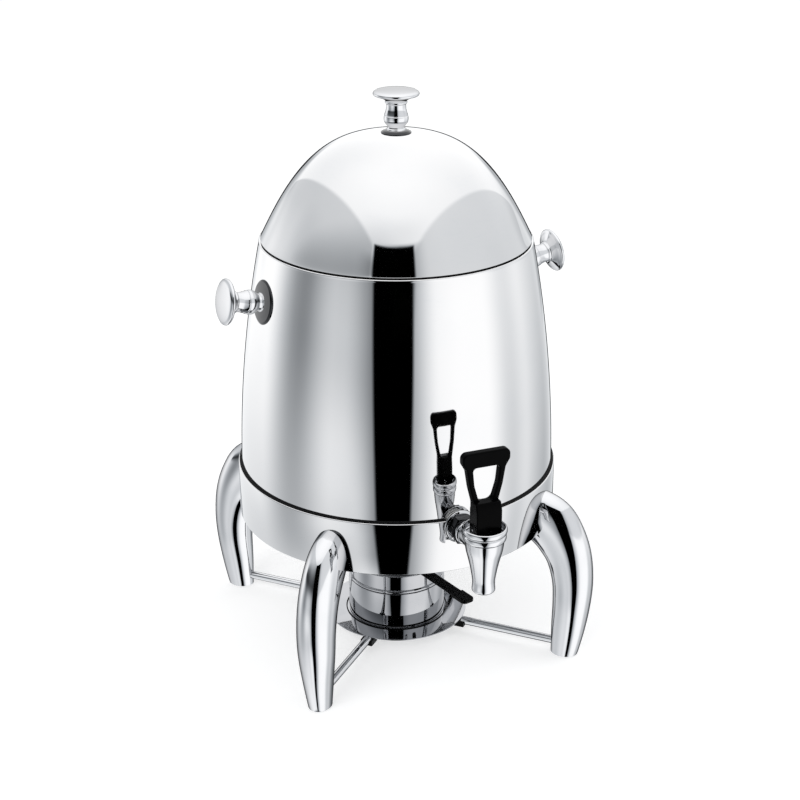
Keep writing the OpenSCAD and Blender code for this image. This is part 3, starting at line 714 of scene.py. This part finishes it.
# %% The wall and its rolled rim
OVER_ALL = 260          # height that a cutter reaches to, above the piece that it cuts
WALL_R = 150.5          # radius where the wall would meet the ring's top
WALL_LEAN = 2.9
WALL_BOW = 21.0
WALL_SPAN = 222.0
SHEET = 1.2
RIM_MOUTH = 119.5
ROUND_STEPS = 160       # faces round the large pieces
RING_LOW, RING_TOP = levels("base_ring")
WALL_LOW, WALL_TOP = levels("outer_shell")


def wall_radius(z):
    """The outer radius of the wall at a height."""
    t = max(0, (z - RING_TOP) / WALL_SPAN)
    return WALL_R - WALL_LEAN * t - WALL_BOW * t * t


def build_wall(rows=54):
    heights = [WALL_LOW + (WALL_TOP - WALL_LOW) * k / rows for k in range(rows + 1)]
    outside = [(wall_radius(z), z) for z in heights]
    inside = [(wall_radius(z) - SHEET, z) for z in reversed(heights)]
    return spun("vessel_wall", outside + inside, ROUND_STEPS)


def build_rim():
    low, high = levels("rim_ring")
    edge = wall_radius(WALL_TOP)
    corners = [(edge, low, 0), (edge - 0.2, high, 1.1), (RIM_MOUTH, high, 1), (RIM_MOUTH, low, 1)]
    return spun("rolled_rim", rounded(corners, 8), ROUND_STEPS)


dressed(build_wall(), "vessel", "polished_steel", "outer_shell")
dressed(build_rim(), "vessel", "polished_steel", "rim_ring")

# %% [markdown]
# ## The lid
# The dome is steep at its edge and nearly flat on top. A power curve gives that shape, and the
# points close up towards the edge, where it bends most.

# %% The dome
DOME_R = reach("lid_dome")[1].x
DOME_LOW, DOME_TOP = levels("lid_dome")
DOME_CUBE = 3.0
DOME_POWER = 1.05


def dome_side(edge, rise, rows=48):
    """Points from the middle of the dome to its edge."""
    points = []
    for k in range(rows + 1):
        r = edge * sin(pi / 2 * k / rows)
        bulge = max(0, 1 - pow(r / edge, DOME_CUBE))
        points.append((r, DOME_LOW + rise * pow(bulge, DOME_POWER)))
    return points


def build_dome():
    rise = DOME_TOP - DOME_LOW
    outside = dome_side(DOME_R, rise)
    inside = dome_side(DOME_R - SHEET, rise - SHEET)
    return spun("dome_sheet", outside + inside[::-1], ROUND_STEPS)


dressed(build_dome(), "lid", "polished_steel", "lid_dome")

# %% [markdown]
# ## Knobs and rosettes
# The lid's knob and the two handles are one turned pattern at two lengths: a foot, a bulb with a
# fine groove, a neck, a bead, and a mushroom disc with a low crown. The bulb and the cove under
# the disc are smooth curves through a few stations.

# %% The knob's outline
KNOB_R = 21.0
KNOB_LENGTH = 40.0      # the length at which the stations are given
DISC_DROP = 4.0


def knob_outline(length, foot):
    """Outline of a knob from its foot to its crown."""
    k = length / KNOB_LENGTH
    top = length - DISC_DROP
    neck_top = top - 9.5
    start = [(0, foot), (8.2, foot), (8.7, foot + 0.4), (8.7, foot + 1.3), (8.0, foot + 1.9)]
    bulb = smooth_through(
        [(7.7, 5.9 * k), (8.7, 7.4 * k), (10.2, 9.4 * k), (11, 11.3 * k), (11.25, 13.2 * k),
         (11.1, 15.2 * k)], 5
    )
    groove = [(10.95, 15.8 * k), (10.55, 16.1 * k), (10.5, 16.5 * k), (10.8, 16.8 * k)]
    neck = smooth_through(
        [(10.6, 17.2 * k), (9.9, 19.4 * k), (9.25, 21.8 * k), (9, 24 * k), (9, neck_top)], 4
    )
    bead = [(9.3, neck_top + 0.4), (9.9, neck_top + 0.8), (10.2, neck_top + 1.5),
            (10.1, neck_top + 2.2), (9.7, neck_top + 2.7)]
    cove = smooth_through(
        [(9.9, top - 6.2), (11.2, top - 5.1), (13.8, top - 3.8), (16.6, top - 2.7),
         (18.6, top - 1.75)], 4
    )
    edge_r = 1.8
    turns = [radians(a) for a in range(-60, 61, 15)]
    edge = [(KNOB_R - edge_r + edge_r * cos(a), top + edge_r * sin(a)) for a in turns]
    spread = [0.94, 0.88, 0.8, 0.7, 0.6, 0.5, 0.4, 0.3, 0.2, 0.1, 0]
    low = top + 1.6
    crown = [((KNOB_R - 1) * t, low + (length - low) * sqrt(1 - t * t)) for t in spread]
    return start + bulb + groove + neck + bead + cove + edge + crown


# %% Lid knob and its rosette
LID_ROSETTE_H = 3
TURNED_STEPS = 96       # faces round the turned pieces


def build_lid_rosette():
    corners = [(0, 0, 0), (13.9, 0, 0.3), (14, 1.1, 0.5), (11.4, 2.5, 0.6),
               (9.3, LID_ROSETTE_H, 0.5), (0, LID_ROSETTE_H, 0)]
    return spun("lid_knob_rosette", rounded(corners))


lid_rosette = placed(build_lid_rosette(), shift=(0, 0, DOME_TOP))
# The rosette's near-black metal is painted shade.
dressed(lid_rosette, "lid", "chrome_plate", "lid_rosette", look=SHADE_PAINTED_NICKEL).visible_glossy = False
lid_knob = spun("lid_mushroom_knob", knob_outline(KNOB_LENGTH, LID_ROSETTE_H), TURNED_STEPS)
placed(lid_knob, shift=(0, 0, DOME_TOP))
dressed(lid_knob, "lid", "chrome_plate", "lid_knob", look=TURNED).visible_glossy = False

# %% [markdown]
# Each handle stands square to the leaning wall, so it is turned away from the level by the wall's
# lean. Its rosette would hide the round wall behind a flat back: the wall's own shape is cut from
# it, so its edge touches all round.

# %% Handles
HANDLE_Z = 359.5
HANDLE_TURN = 5.0
HANDLE_LENGTH = 40.0
ROSETTE_H = 2.0
PLUG_GAP = 0.03         # air between the wall and what is cut to it
slope = (WALL_LEAN + 2 * WALL_BOW * (HANDLE_Z - RING_TOP) / WALL_SPAN) / WALL_SPAN
HANDLE_LEAN = degrees(atan2(slope, 1))


def at_handle(piece, turn):
    """Puts a piece that stands on the origin on the wall, at a turn round the urn."""
    placed(piece, (0, 90 - HANDLE_LEAN, 0), (wall_radius(HANDLE_Z), 0, HANDLE_Z))
    return placed(piece, (0, 0, turn))


def wall_plug(spread=40):
    """A solid of the wall's shape round the handles' height."""
    heights = [HANDLE_Z - spread + 2 * spread * k / 20 for k in range(21)]
    side = [(wall_radius(z) + PLUG_GAP, z) for z in heights]
    return spun("wall_plug", [(0, heights[0]), *side, (0, heights[-1])], ROUND_STEPS)


def build_handle_rosette(name, turn):
    corners = [(3.1, -1.9, 0), (20.45, -1.9, 0.3), (20.5, 0.3, 0.6), (18.6, 1.2, 0.8),
               (12.5, 1.75, 3), (8.6, ROSETTE_H, 0.4), (3.1, ROSETTE_H, 0)]
    piece = at_handle(spun(name, rounded(corners), TURNED_STEPS), turn)
    return joined(piece, wall_plug(), "DIFFERENCE")


for side, turn in (("right", HANDLE_TURN), ("left", HANDLE_TURN + 180)):
    knob = spun(f"{side}_handle_mushroom", knob_outline(HANDLE_LENGTH, ROSETTE_H), TURNED_STEPS)
    at_handle(knob, turn)
    dressed(knob, "vessel", "chrome_plate", f"handle_knob_{side}", look=TURNED)
    rosette = build_handle_rosette(f"{side}_handle_dish", turn)
    # The handle rosette's near-black metal is painted shade.
    dressed(rosette, "vessel", "chrome_plate", f"handle_rosette_{side}", look=SHADE_PAINTED_NICKEL)
    knob.visible_glossy = rosette.visible_glossy = False
print("handle lean:", round(HANDLE_LEAN, 2), "degrees")

# %% [markdown]
# ## The base ring
# The ring is a rolled band with a lip on top for the gasket and a hem below. Its front is
# notched for the tap, so that the vessel can be lifted out with the tap on it.

# %% Base ring
RING_R = reach("base_ring")[1].x
RING_WALL = 1.5
NOTCH_R = 12.6
TAP_Z = 176.0


def tap_notch():
    """The notch's shape, as a slab that stands across the ring's front."""
    over = 40
    arc = [(NOTCH_R * cos(radians(a)), NOTCH_R * sin(radians(a))) for a in range(180, 361, 9)]
    shape = slab("notch", [(-NOTCH_R, over), *arc, (NOTCH_R, over)], 100, 200)
    return placed(shape, (90, 0, 0), (0, 0, TAP_Z))


def build_ring():
    inner = RING_R - RING_WALL
    lip = RING_R - 5.5
    hem = inner - 2.5
    corners = [
        (RING_R, RING_LOW, 0.7), (RING_R, RING_TOP, 1), (lip, RING_TOP, 0.5),
        (lip, RING_TOP - 1.6, 0.5), (inner, RING_TOP - 1.6, 1.2), (inner, RING_LOW + 1.5, 0.5),
        (hem, RING_LOW + 1.5, 0.6), (hem, RING_LOW, 0.6),
    ]
    ring = spun("base_ring_band", rounded(corners), 2 * ROUND_STEPS)
    return joined(ring, tap_notch(), "DIFFERENCE")


dressed(build_ring(), "stand", "polished_steel", "base_ring")

# %% [markdown]
# ## The legs
# Each leg is a cast horn: slim and nearly round at the foot, widest at its shoulder, and curving
# over into the ring. A circle is extruded from station to station. At each one it is laid flat,
# made as deep and as wide as the leg is there, turned square to the leg's line and moved on.

# %% One leg
#            distance from the axis, height, half depth, half width
LEG_STATIONS = [
    (178.6, 1, 13.2, 10.8), (181.4, 28, 16.4, 13.8), (184, 57, 18.4, 16.8), (184, 82, 20, 17.6),
    (179.5, 106, 22.3, 17.8), (171, 124, 25, 17.6), (160, 138, 27, 17), (147, 147, 24.5, 15.5),
    (137, 149, 20, 12),
]
LEG_STEPS = 5
LEG_SIDES = 48
PAD_R = 8.1
PAD_H = 4.0


def leg_line():
    """Where each ring of the leg goes: its middle, its turn and its two half sizes."""
    rows = smooth_through(LEG_STATIONS, LEG_STEPS)
    line = []
    for k, (r, z, depth, width) in enumerate(rows):
        before = rows[max(k - 1, 0)]
        after = rows[min(k + 1, len(rows) - 1)]
        turn = 0 if k == 0 else atan2(before[0] - after[0], after[1] - before[1])
        line.append((Vector((r, 0, z)) * MM, -turn, depth, width))
    return line


def build_leg(name):
    """A leg that stands towards +X, before it is turned to its place."""
    bpy.ops.object.select_all(action="DESELECT")
    bpy.ops.mesh.primitive_circle_add(vertices=LEG_SIDES, radius=MM, fill_type="NGON")
    piece = bpy.context.object
    piece.name = piece.data.name = name
    bpy.ops.object.mode_set(mode="EDIT")
    bpy.ops.mesh.select_all(action="SELECT")
    middle, turn, depth, width = Vector((0, 0, 0)), 0, 1, 1
    origin = (0, 0, 0)
    for k, (to, new_turn, new_depth, new_width) in enumerate(leg_line()):
        if k > 0:
            bpy.ops.mesh.extrude_region_move(TRANSFORM_OT_translate={"value": (0, 0, 0)})
        bpy.ops.transform.translate(value=-middle)
        bpy.ops.transform.rotate(value=turn, orient_axis="Y", center_override=origin)
        grow = (new_depth / depth, new_width / width, 1)
        bpy.ops.transform.resize(value=grow, center_override=origin)
        bpy.ops.transform.rotate(value=-new_turn, orient_axis="Y", center_override=origin)
        bpy.ops.transform.translate(value=to)
        middle, turn, depth, width = to, new_turn, new_depth, new_width
    return closed_up(piece)


def finished_leg(name):
    """The leg with its seat for the ring and its recess for the pad."""
    piece = build_leg(name)
    seat_r, seat_low = RING_R - 0.5, RING_LOW + 0.6
    seat_outline = [(0, seat_low), (seat_r, seat_low), (seat_r, OVER_ALL), (0, OVER_ALL)]
    seat = spun("seat", seat_outline, 2 * ROUND_STEPS)
    joined(piece, seat, "DIFFERENCE")
    recess = placed(
        spun("recess", [(0, -2), (PAD_R, -2), (PAD_R, PAD_H), (0, PAD_H)], 48),
        shift=(LEG_STATIONS[0][0], 0, 0),
    )
    return joined(piece, recess, "DIFFERENCE")


first_leg = finished_leg("leg_pattern")
LEG_TURNS = {"front_left": -135, "front_right": -45, "back_left": 135, "back_right": 45}
for corner, turn in LEG_TURNS.items():
    leg = placed(copied(first_leg, f"{corner}_horn_leg"), (0, 0, turn))
    dressed(leg, "stand", "chrome_plate", f"leg_{corner}")
bpy.data.objects.remove(first_leg)

# %% [markdown]
# ## Tray, fuel pot and cover
# These are shallow pressings. Their rims and corners are rounded in the outline, so that each
# catches a thin light line. The cover's flame windows are cut through its top, under the shutter.

# %% Tray and locating ring
TRAY_R = reach("burner_tray")[1].x
TRAY_LOW, TRAY_TOP = levels("burner_tray")
tray_corners = [
    (0, TRAY_LOW, 0), (TRAY_R, TRAY_LOW, 0.6), (TRAY_R, TRAY_TOP, 0.4), (0, TRAY_TOP, 0),
]
tray = spun("tray_dish", rounded(tray_corners), ROUND_STEPS)
# The tray's darker steel is painted shade.
dressed(tray, "stand", "polished_steel", "burner_tray", look=SHADE_PAINTED_STEEL)

POT_R = reach("fuel_pot")[1].x
LOCATING_R = reach("pot_locating_ring")[1].x
FENCE_IN, FENCE_TOP = POT_R + 1.8, TRAY_TOP + 0.9
locating_corners = [
    (FENCE_IN, TRAY_TOP, 0.1), (LOCATING_R, TRAY_TOP, 0.1), (LOCATING_R, FENCE_TOP, 0.4),
    (FENCE_IN, FENCE_TOP, 0.4),
]
locating = spun("pot_fence", rounded(locating_corners), ROUND_STEPS)
# The ring's black is partly painted shade: it draws the shadow line of the gap round the pot's
# foot.
dressed(locating, "stand", "black_enamel", "pot_locating_ring")

# %% Fuel pot and cover
POT_LOW, POT_TOP = levels("fuel_pot")
COVER_R = POT_R - 1.8
COVER_LOW, COVER_TOP = levels("pot_cover")
pot_corners = [
    (0, POT_LOW, 0), (POT_R, POT_LOW, 1.2), (POT_R, POT_TOP, 0.5), (POT_R - SHEET, POT_TOP, 0.5),
    (POT_R - SHEET, POT_LOW + SHEET, 1), (0, POT_LOW + SHEET, 0),
]
pot = spun("pot_cup", rounded(pot_corners), ROUND_STEPS)
# The pot's darker steel is painted shade.
dressed(pot, "fuel_pot", "polished_steel", "fuel_pot", look=SHADE_PAINTED_STEEL)

SHUTTER_TURN = -76.5
WINDOW_SPAN = 52
WINDOW_IN, WINDOW_OUT = 13, 33


def window(turn):
    """One flame window, as a slab that stands through the cover's top."""
    half = WINDOW_SPAN // 2
    far = [(WINDOW_OUT, a) for a in range(-half, half + 1, 4)]
    near = [(WINDOW_IN, a) for a in range(half, -half - 1, -13)]
    shape = [(r * cos(radians(a)), r * sin(radians(a))) for r, a in far + near]
    piece = slab("window", shape, COVER_TOP - 5, COVER_TOP + 5)
    return placed(piece, (0, 0, turn))


def build_cover():
    bead_low, bead_top = POT_TOP + 0.2, POT_TOP + 3.3
    lap_r = POT_R - SHEET - 0.4
    inner = COVER_R - 1.6
    corners = [
        (0, COVER_TOP, 0), (COVER_R, COVER_TOP, 1.2), (COVER_R, bead_top + 0.1, 0.4),
        (POT_R, bead_top, 1.45), (POT_R, bead_low, 1.45), (lap_r, bead_low, 0.1),
        (lap_r, COVER_LOW, 0.5), (inner, COVER_LOW, 0.5), (inner, COVER_TOP - SHEET, 0.6),
        (0, COVER_TOP - SHEET, 0),
    ]
    cover = spun("pot_cover_cap", rounded(corners), ROUND_STEPS)
    for k in range(3):
        joined(cover, window(SHUTTER_TURN + 60 + 120 * k), "DIFFERENCE")
    return cover


# The cover's darker steel is painted shade.
dressed(build_cover(), "pot_cover", "polished_steel", "pot_cover", look=SHADE_PAINTED_STEEL)

# %% [markdown]
# The shutter's handle is a strip of enamelled steel with a folded grip at its end. Both have
# softened edges, which show as fine light lines on the black.

# %% Shutter handle and grip
STRIP_W = 12.0
STRIP_LOW, STRIP_TOP = levels("shutter_handle")
SHUTTER_REACH = 120.0
GRIP_AT = 100.0
GRIP_LOW, GRIP_TOP = levels("shutter_grip")


def build_strip():
    end = SHUTTER_REACH - 1
    half = STRIP_W / 2
    around = [(half * cos(radians(a)), half * sin(radians(a))) for a in range(90, 271, 15)]
    tip = rounded([(0, -half, 0), (end, -half, 4), (end, half, 4), (0, half, 0)])[1:-1]
    strip = slab("shutter_strip", around + tip, STRIP_LOW, STRIP_TOP)
    slot_corners = [(14, -4, 2), (31, -4, 2), (31, 4, 2), (14, 4, 2)]
    joined(strip, slab("slot", rounded(slot_corners), STRIP_LOW - 2, STRIP_TOP + 2), "DIFFERENCE")
    return placed(soft_edges(strip, 0.35, 2), (0, 0, SHUTTER_TURN))


def build_grip():
    half = STRIP_W / 2 + 0.9
    corners = [(GRIP_AT, -half, 0.4), (SHUTTER_REACH, -half, 4.5), (SHUTTER_REACH, half, 4.5),
               (GRIP_AT, half, 0.4)]
    grip = soft_edges(slab("shutter_grip_fold", rounded(corners), GRIP_LOW, GRIP_TOP), 0.8, 3)
    side, far = STRIP_W / 2 + 0.05, SHUTTER_REACH - 0.9
    pocket = [(GRIP_AT - 5, -side), (far, -side), (far, side), (GRIP_AT - 5, side)]
    joined(grip, slab("pocket", pocket, STRIP_LOW - 0.05, STRIP_TOP + 0.05), "DIFFERENCE")
    return placed(grip, (0, 0, SHUTTER_TURN))


dressed(build_strip(), "shutter", "black_enamel", "shutter_handle")
dressed(build_grip(), "shutter", "black_enamel", "shutter_grip")

# %% [markdown]
# ## The tap
# The tap is a chromed casting: a tapering spout with a level arm, closed by a bonnet whose cup
# holds the lever's foot. Spout and arm are united, and the waterway is cut out of both.

# %% Tap body
TAP_REACH = 207.0
ARM_BACK = 165.9
ARM_R = 9.0
SPOUT_Z = TAP_Z - 39
SPOUT_BORE = 7
SEAT_Z = TAP_Z - 9
CHAMBER_R = 11.5
SOCKET_R, SOCKET_DEPTH = 7.2, 12
INLET_R = 5.5
NECK_TOP = TAP_Z + 14.5
CUP_FLOOR = NECK_TOP + 2.85
CUP_R = 18.2
STEM_HOLE = 3.05


def along_inlet(piece, start):
    """Lays a piece that stands on the origin along the inlet, from a distance to the axis."""
    return placed(piece, (90, 0, 0), (0, -start, TAP_Z))


def at_spindle(piece):
    """Moves a piece from the urn's axis to the tap's spindle."""
    return placed(piece, shift=(0, -TAP_REACH, 0))


def build_tap_body():
    side = smooth_through(
        [(10.4, SPOUT_Z + 3.6), (10.05, SPOUT_Z + 8), (10.3, SPOUT_Z + 13), (12.2, SPOUT_Z + 24),
         (14.4, SPOUT_Z + 33.5), (16.5, SPOUT_Z + 42), (17.6, NECK_TOP - 2.6)], 5
    )
    start = rounded([(0, SPOUT_Z, 0), (10.4, SPOUT_Z, 2.4), side[0] + (0,)])
    neck = [(15.9, NECK_TOP - 2.5), (15.9, NECK_TOP - 0.05), (0, NECK_TOP - 0.05)]
    body = at_spindle(spun("tap_spout", start + side[1:] + neck, TURNED_STEPS))
    arm_end = TAP_REACH - ARM_BACK
    arm_corners = [(0, 0, 0), (11, 0, 0.6), (11, 5, 1.2), (ARM_R, 5.6, 0.5), (ARM_R, arm_end, 0),
                   (0, arm_end, 0)]
    joined(body, along_inlet(spun("arm", rounded(arm_corners), 64), ARM_BACK), "UNION")
    bore = [(0, SPOUT_Z - 2), (SPOUT_BORE, SPOUT_Z - 2), (SPOUT_BORE, SEAT_Z), (CHAMBER_R, SEAT_Z),
            (CHAMBER_R, OVER_ALL), (0, OVER_ALL)]
    joined(body, at_spindle(spun("bore", bore, 64)), "DIFFERENCE")
    inlet = [(0, -1), (SOCKET_R, -1), (SOCKET_R, SOCKET_DEPTH), (INLET_R, SOCKET_DEPTH),
             (INLET_R, arm_end), (0, arm_end)]
    return joined(body, along_inlet(spun("inlet", inlet, 48), ARM_BACK), "DIFFERENCE")


def bead(r, depth, low, high, steps=12):
    """Half an oval, from its low end round its outermost radius to its high end."""
    middle, half = (low + high) / 2, (high - low) / 2
    turns = [pi * (k / steps - 0.5) for k in range(steps + 1)]
    return [(r - depth + depth * cos(a), middle + half * sin(a)) for a in turns]


def build_bonnet():
    """A neck, two rolled beads, one on the other, and the cup that the lever's foot stands in."""
    low, top = NECK_TOP - 2.4, NECK_TOP + 10
    joint = low + 6.6
    outline = [(STEM_HOLE, NECK_TOP), (15.95, NECK_TOP), (16, low)]
    outline += bead(19.3, 1.8, low, joint) + bead(20, 1.5, joint + 0.2, top)
    outline += [(CUP_R + 0.1, top - 0.1), (CUP_R, top - 0.4), (CUP_R, CUP_FLOOR + 0.6),
                (CUP_R - 0.6, CUP_FLOOR), (STEM_HOLE, CUP_FLOOR)]
    return at_spindle(spun("tap_bonnet_cup", outline, TURNED_STEPS))


dressed(build_tap_body(), "vessel", "chrome_plate", "tap_body")
dressed(build_bonnet(), "vessel", "chrome_plate", "tap_bonnet")

# %% Escutcheon and lock nut
FLANGE_BACK = RING_R + 0.8
NUT_BACK = FLANGE_BACK + 3.1
NUT_T = 8.4
NUT_AF = 24.0
SHANK_HOLE = 9.05


def build_escutcheon():
    corners = [(SHANK_HOLE, 0, 0), (15.6, 0, 0.3), (15.6, 2, 0.8), (14.2, 2.6, 0.4), (13.6, 3, 0.3),
               (SHANK_HOLE, 3, 0)]
    return along_inlet(spun("tap_rose", rounded(corners), TURNED_STEPS), FLANGE_BACK)


def build_lock_nut():
    across = NUT_AF / sqrt(3)
    hexagon = [(across * cos(radians(a)), across * sin(radians(a))) for a in range(0, 360, 60)]
    nut = soft_edges(slab("tap_hexagon_nut", hexagon, 0, NUT_T), 0.35, 3)
    chamfer = [(0, -0.1), (12.4, -0.1), (14.2, 1.3), (14.2, NUT_T - 1.3), (12.4, NUT_T + 0.1),
               (0, NUT_T + 0.1)]
    joined(nut, spun("chamfer", chamfer, 64), "INTERSECT")
    hole = [(0, -1), (SHANK_HOLE, -1), (SHANK_HOLE, NUT_T + 1), (0, NUT_T + 1)]
    joined(nut, spun("hole", hole, 64), "DIFFERENCE")
    return along_inlet(nut, NUT_BACK)


dressed(build_escutcheon(), "vessel", "chrome_plate", "tap_escutcheon")
# The lock nut's near-black metal is painted shade.
dressed(build_lock_nut(), "vessel", "chrome_plate", "tap_lock_nut", look=SHADE_PAINTED_NICKEL)

# %% [markdown]
# ## The lever
# The lever is one black moulding: a flat grip with a broad top bar and a finger hole, on a block
# whose foot is a cam. The grip and the block are slabs with rounded edges, united and then slotted
# for the stem.

# %% Lever
LEVER_W = 24.0
LEVER_TOP = levels("tap_lever")[1]
WAIST_Z = 224.0
BAR_W = 44.8
GRIP_T = 8.0
PIN_Z = 198.5
PIN_DROP = 5.0
CAM_RISE = 5.0          # millimetres for each radian of tilt
STROKE = 45
PIN_HOLE = 1.55


def cam_point(angle):
    """A point of the cam under the lever, whose depth grows evenly with the tilt."""
    a = radians(angle)
    depth = PIN_DROP + CAM_RISE * a
    return (-depth * sin(a) - CAM_RISE * cos(a), -depth * cos(a) + CAM_RISE * sin(a))


def upright(piece, y, z):
    """Stands a slab up so that its outline faces the front, with its back face at y."""
    return placed(piece, (90, 0, 0), (0, y, z))


def build_lever():
    half, bar = LEVER_W / 2, BAR_W / 2
    right = [(half - 0.3, WAIST_Z - 18, 0), (half, WAIST_Z + 1, 8), (15.8, WAIST_Z + 16, 30),
             (18.3, LEVER_TOP - 16.5, 7), (bar, LEVER_TOP - 9.5, 4), (bar, LEVER_TOP, 5.2)]
    left = [(-x, z, r) for x, z, r in reversed(right)]
    cam = [cam_point(a) for a in range(0, STROKE + 1, 5)]
    front = cam[-1][0]
    back = front + 16
    lever = slab("lever_moulding", rounded(right + left, 8), 0, GRIP_T)
    upright(lever, back - TAP_REACH, 0)
    hole_corners = [(-12.5, 257.5, 3.4), (12.5, 257.5, 3), (10.8, 241, 24), (6.2, 225.1, 6.1),
                    (-6.2, 225.1, 6.1), (-10.8, 241, 24)]
    hole = upright(slab("finger_hole", rounded(hole_corners, 8), -20, 20), -TAP_REACH, 0)
    joined(lever, hole, "DIFFERENCE")
    soft_edges(lever, 1.7, 4, 50)
    top = WAIST_Z - PIN_Z + 2
    block_outline = [(back, top - 8), (back, 1 - PIN_DROP), (back - 1, -PIN_DROP), *cam,
                     (front, top - 8), (front + 3, top), (back - 3, top)]
    block = soft_edges(slab("block", block_outline, -half, half), 1.0, 3, 50)
    placed(block, (90, 0, 90), (0, -TAP_REACH, PIN_Z))
    joined(lever, block, "UNION")
    blade = [(-1.7, -20), (1.7, -20), (1.7, 20), (-1.7, 20)]
    slot = placed(slab("blade_slot", blade, -12, 3.2), shift=(0, -TAP_REACH, PIN_Z))
    joined(lever, slot, "DIFFERENCE")
    pin = spun("pin_hole", [(0, -20), (PIN_HOLE, -20), (PIN_HOLE, 20), (0, 20)], 32)
    return joined(lever, placed(pin, (0, 90, 0), (0, -TAP_REACH, PIN_Z)), "DIFFERENCE")


dressed(build_lever(), "tap_lever", "black_plastic", "tap_lever")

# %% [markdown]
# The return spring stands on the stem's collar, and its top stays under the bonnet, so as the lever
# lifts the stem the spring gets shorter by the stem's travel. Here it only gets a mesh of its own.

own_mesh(frame["nodes"]["tap_spring"])
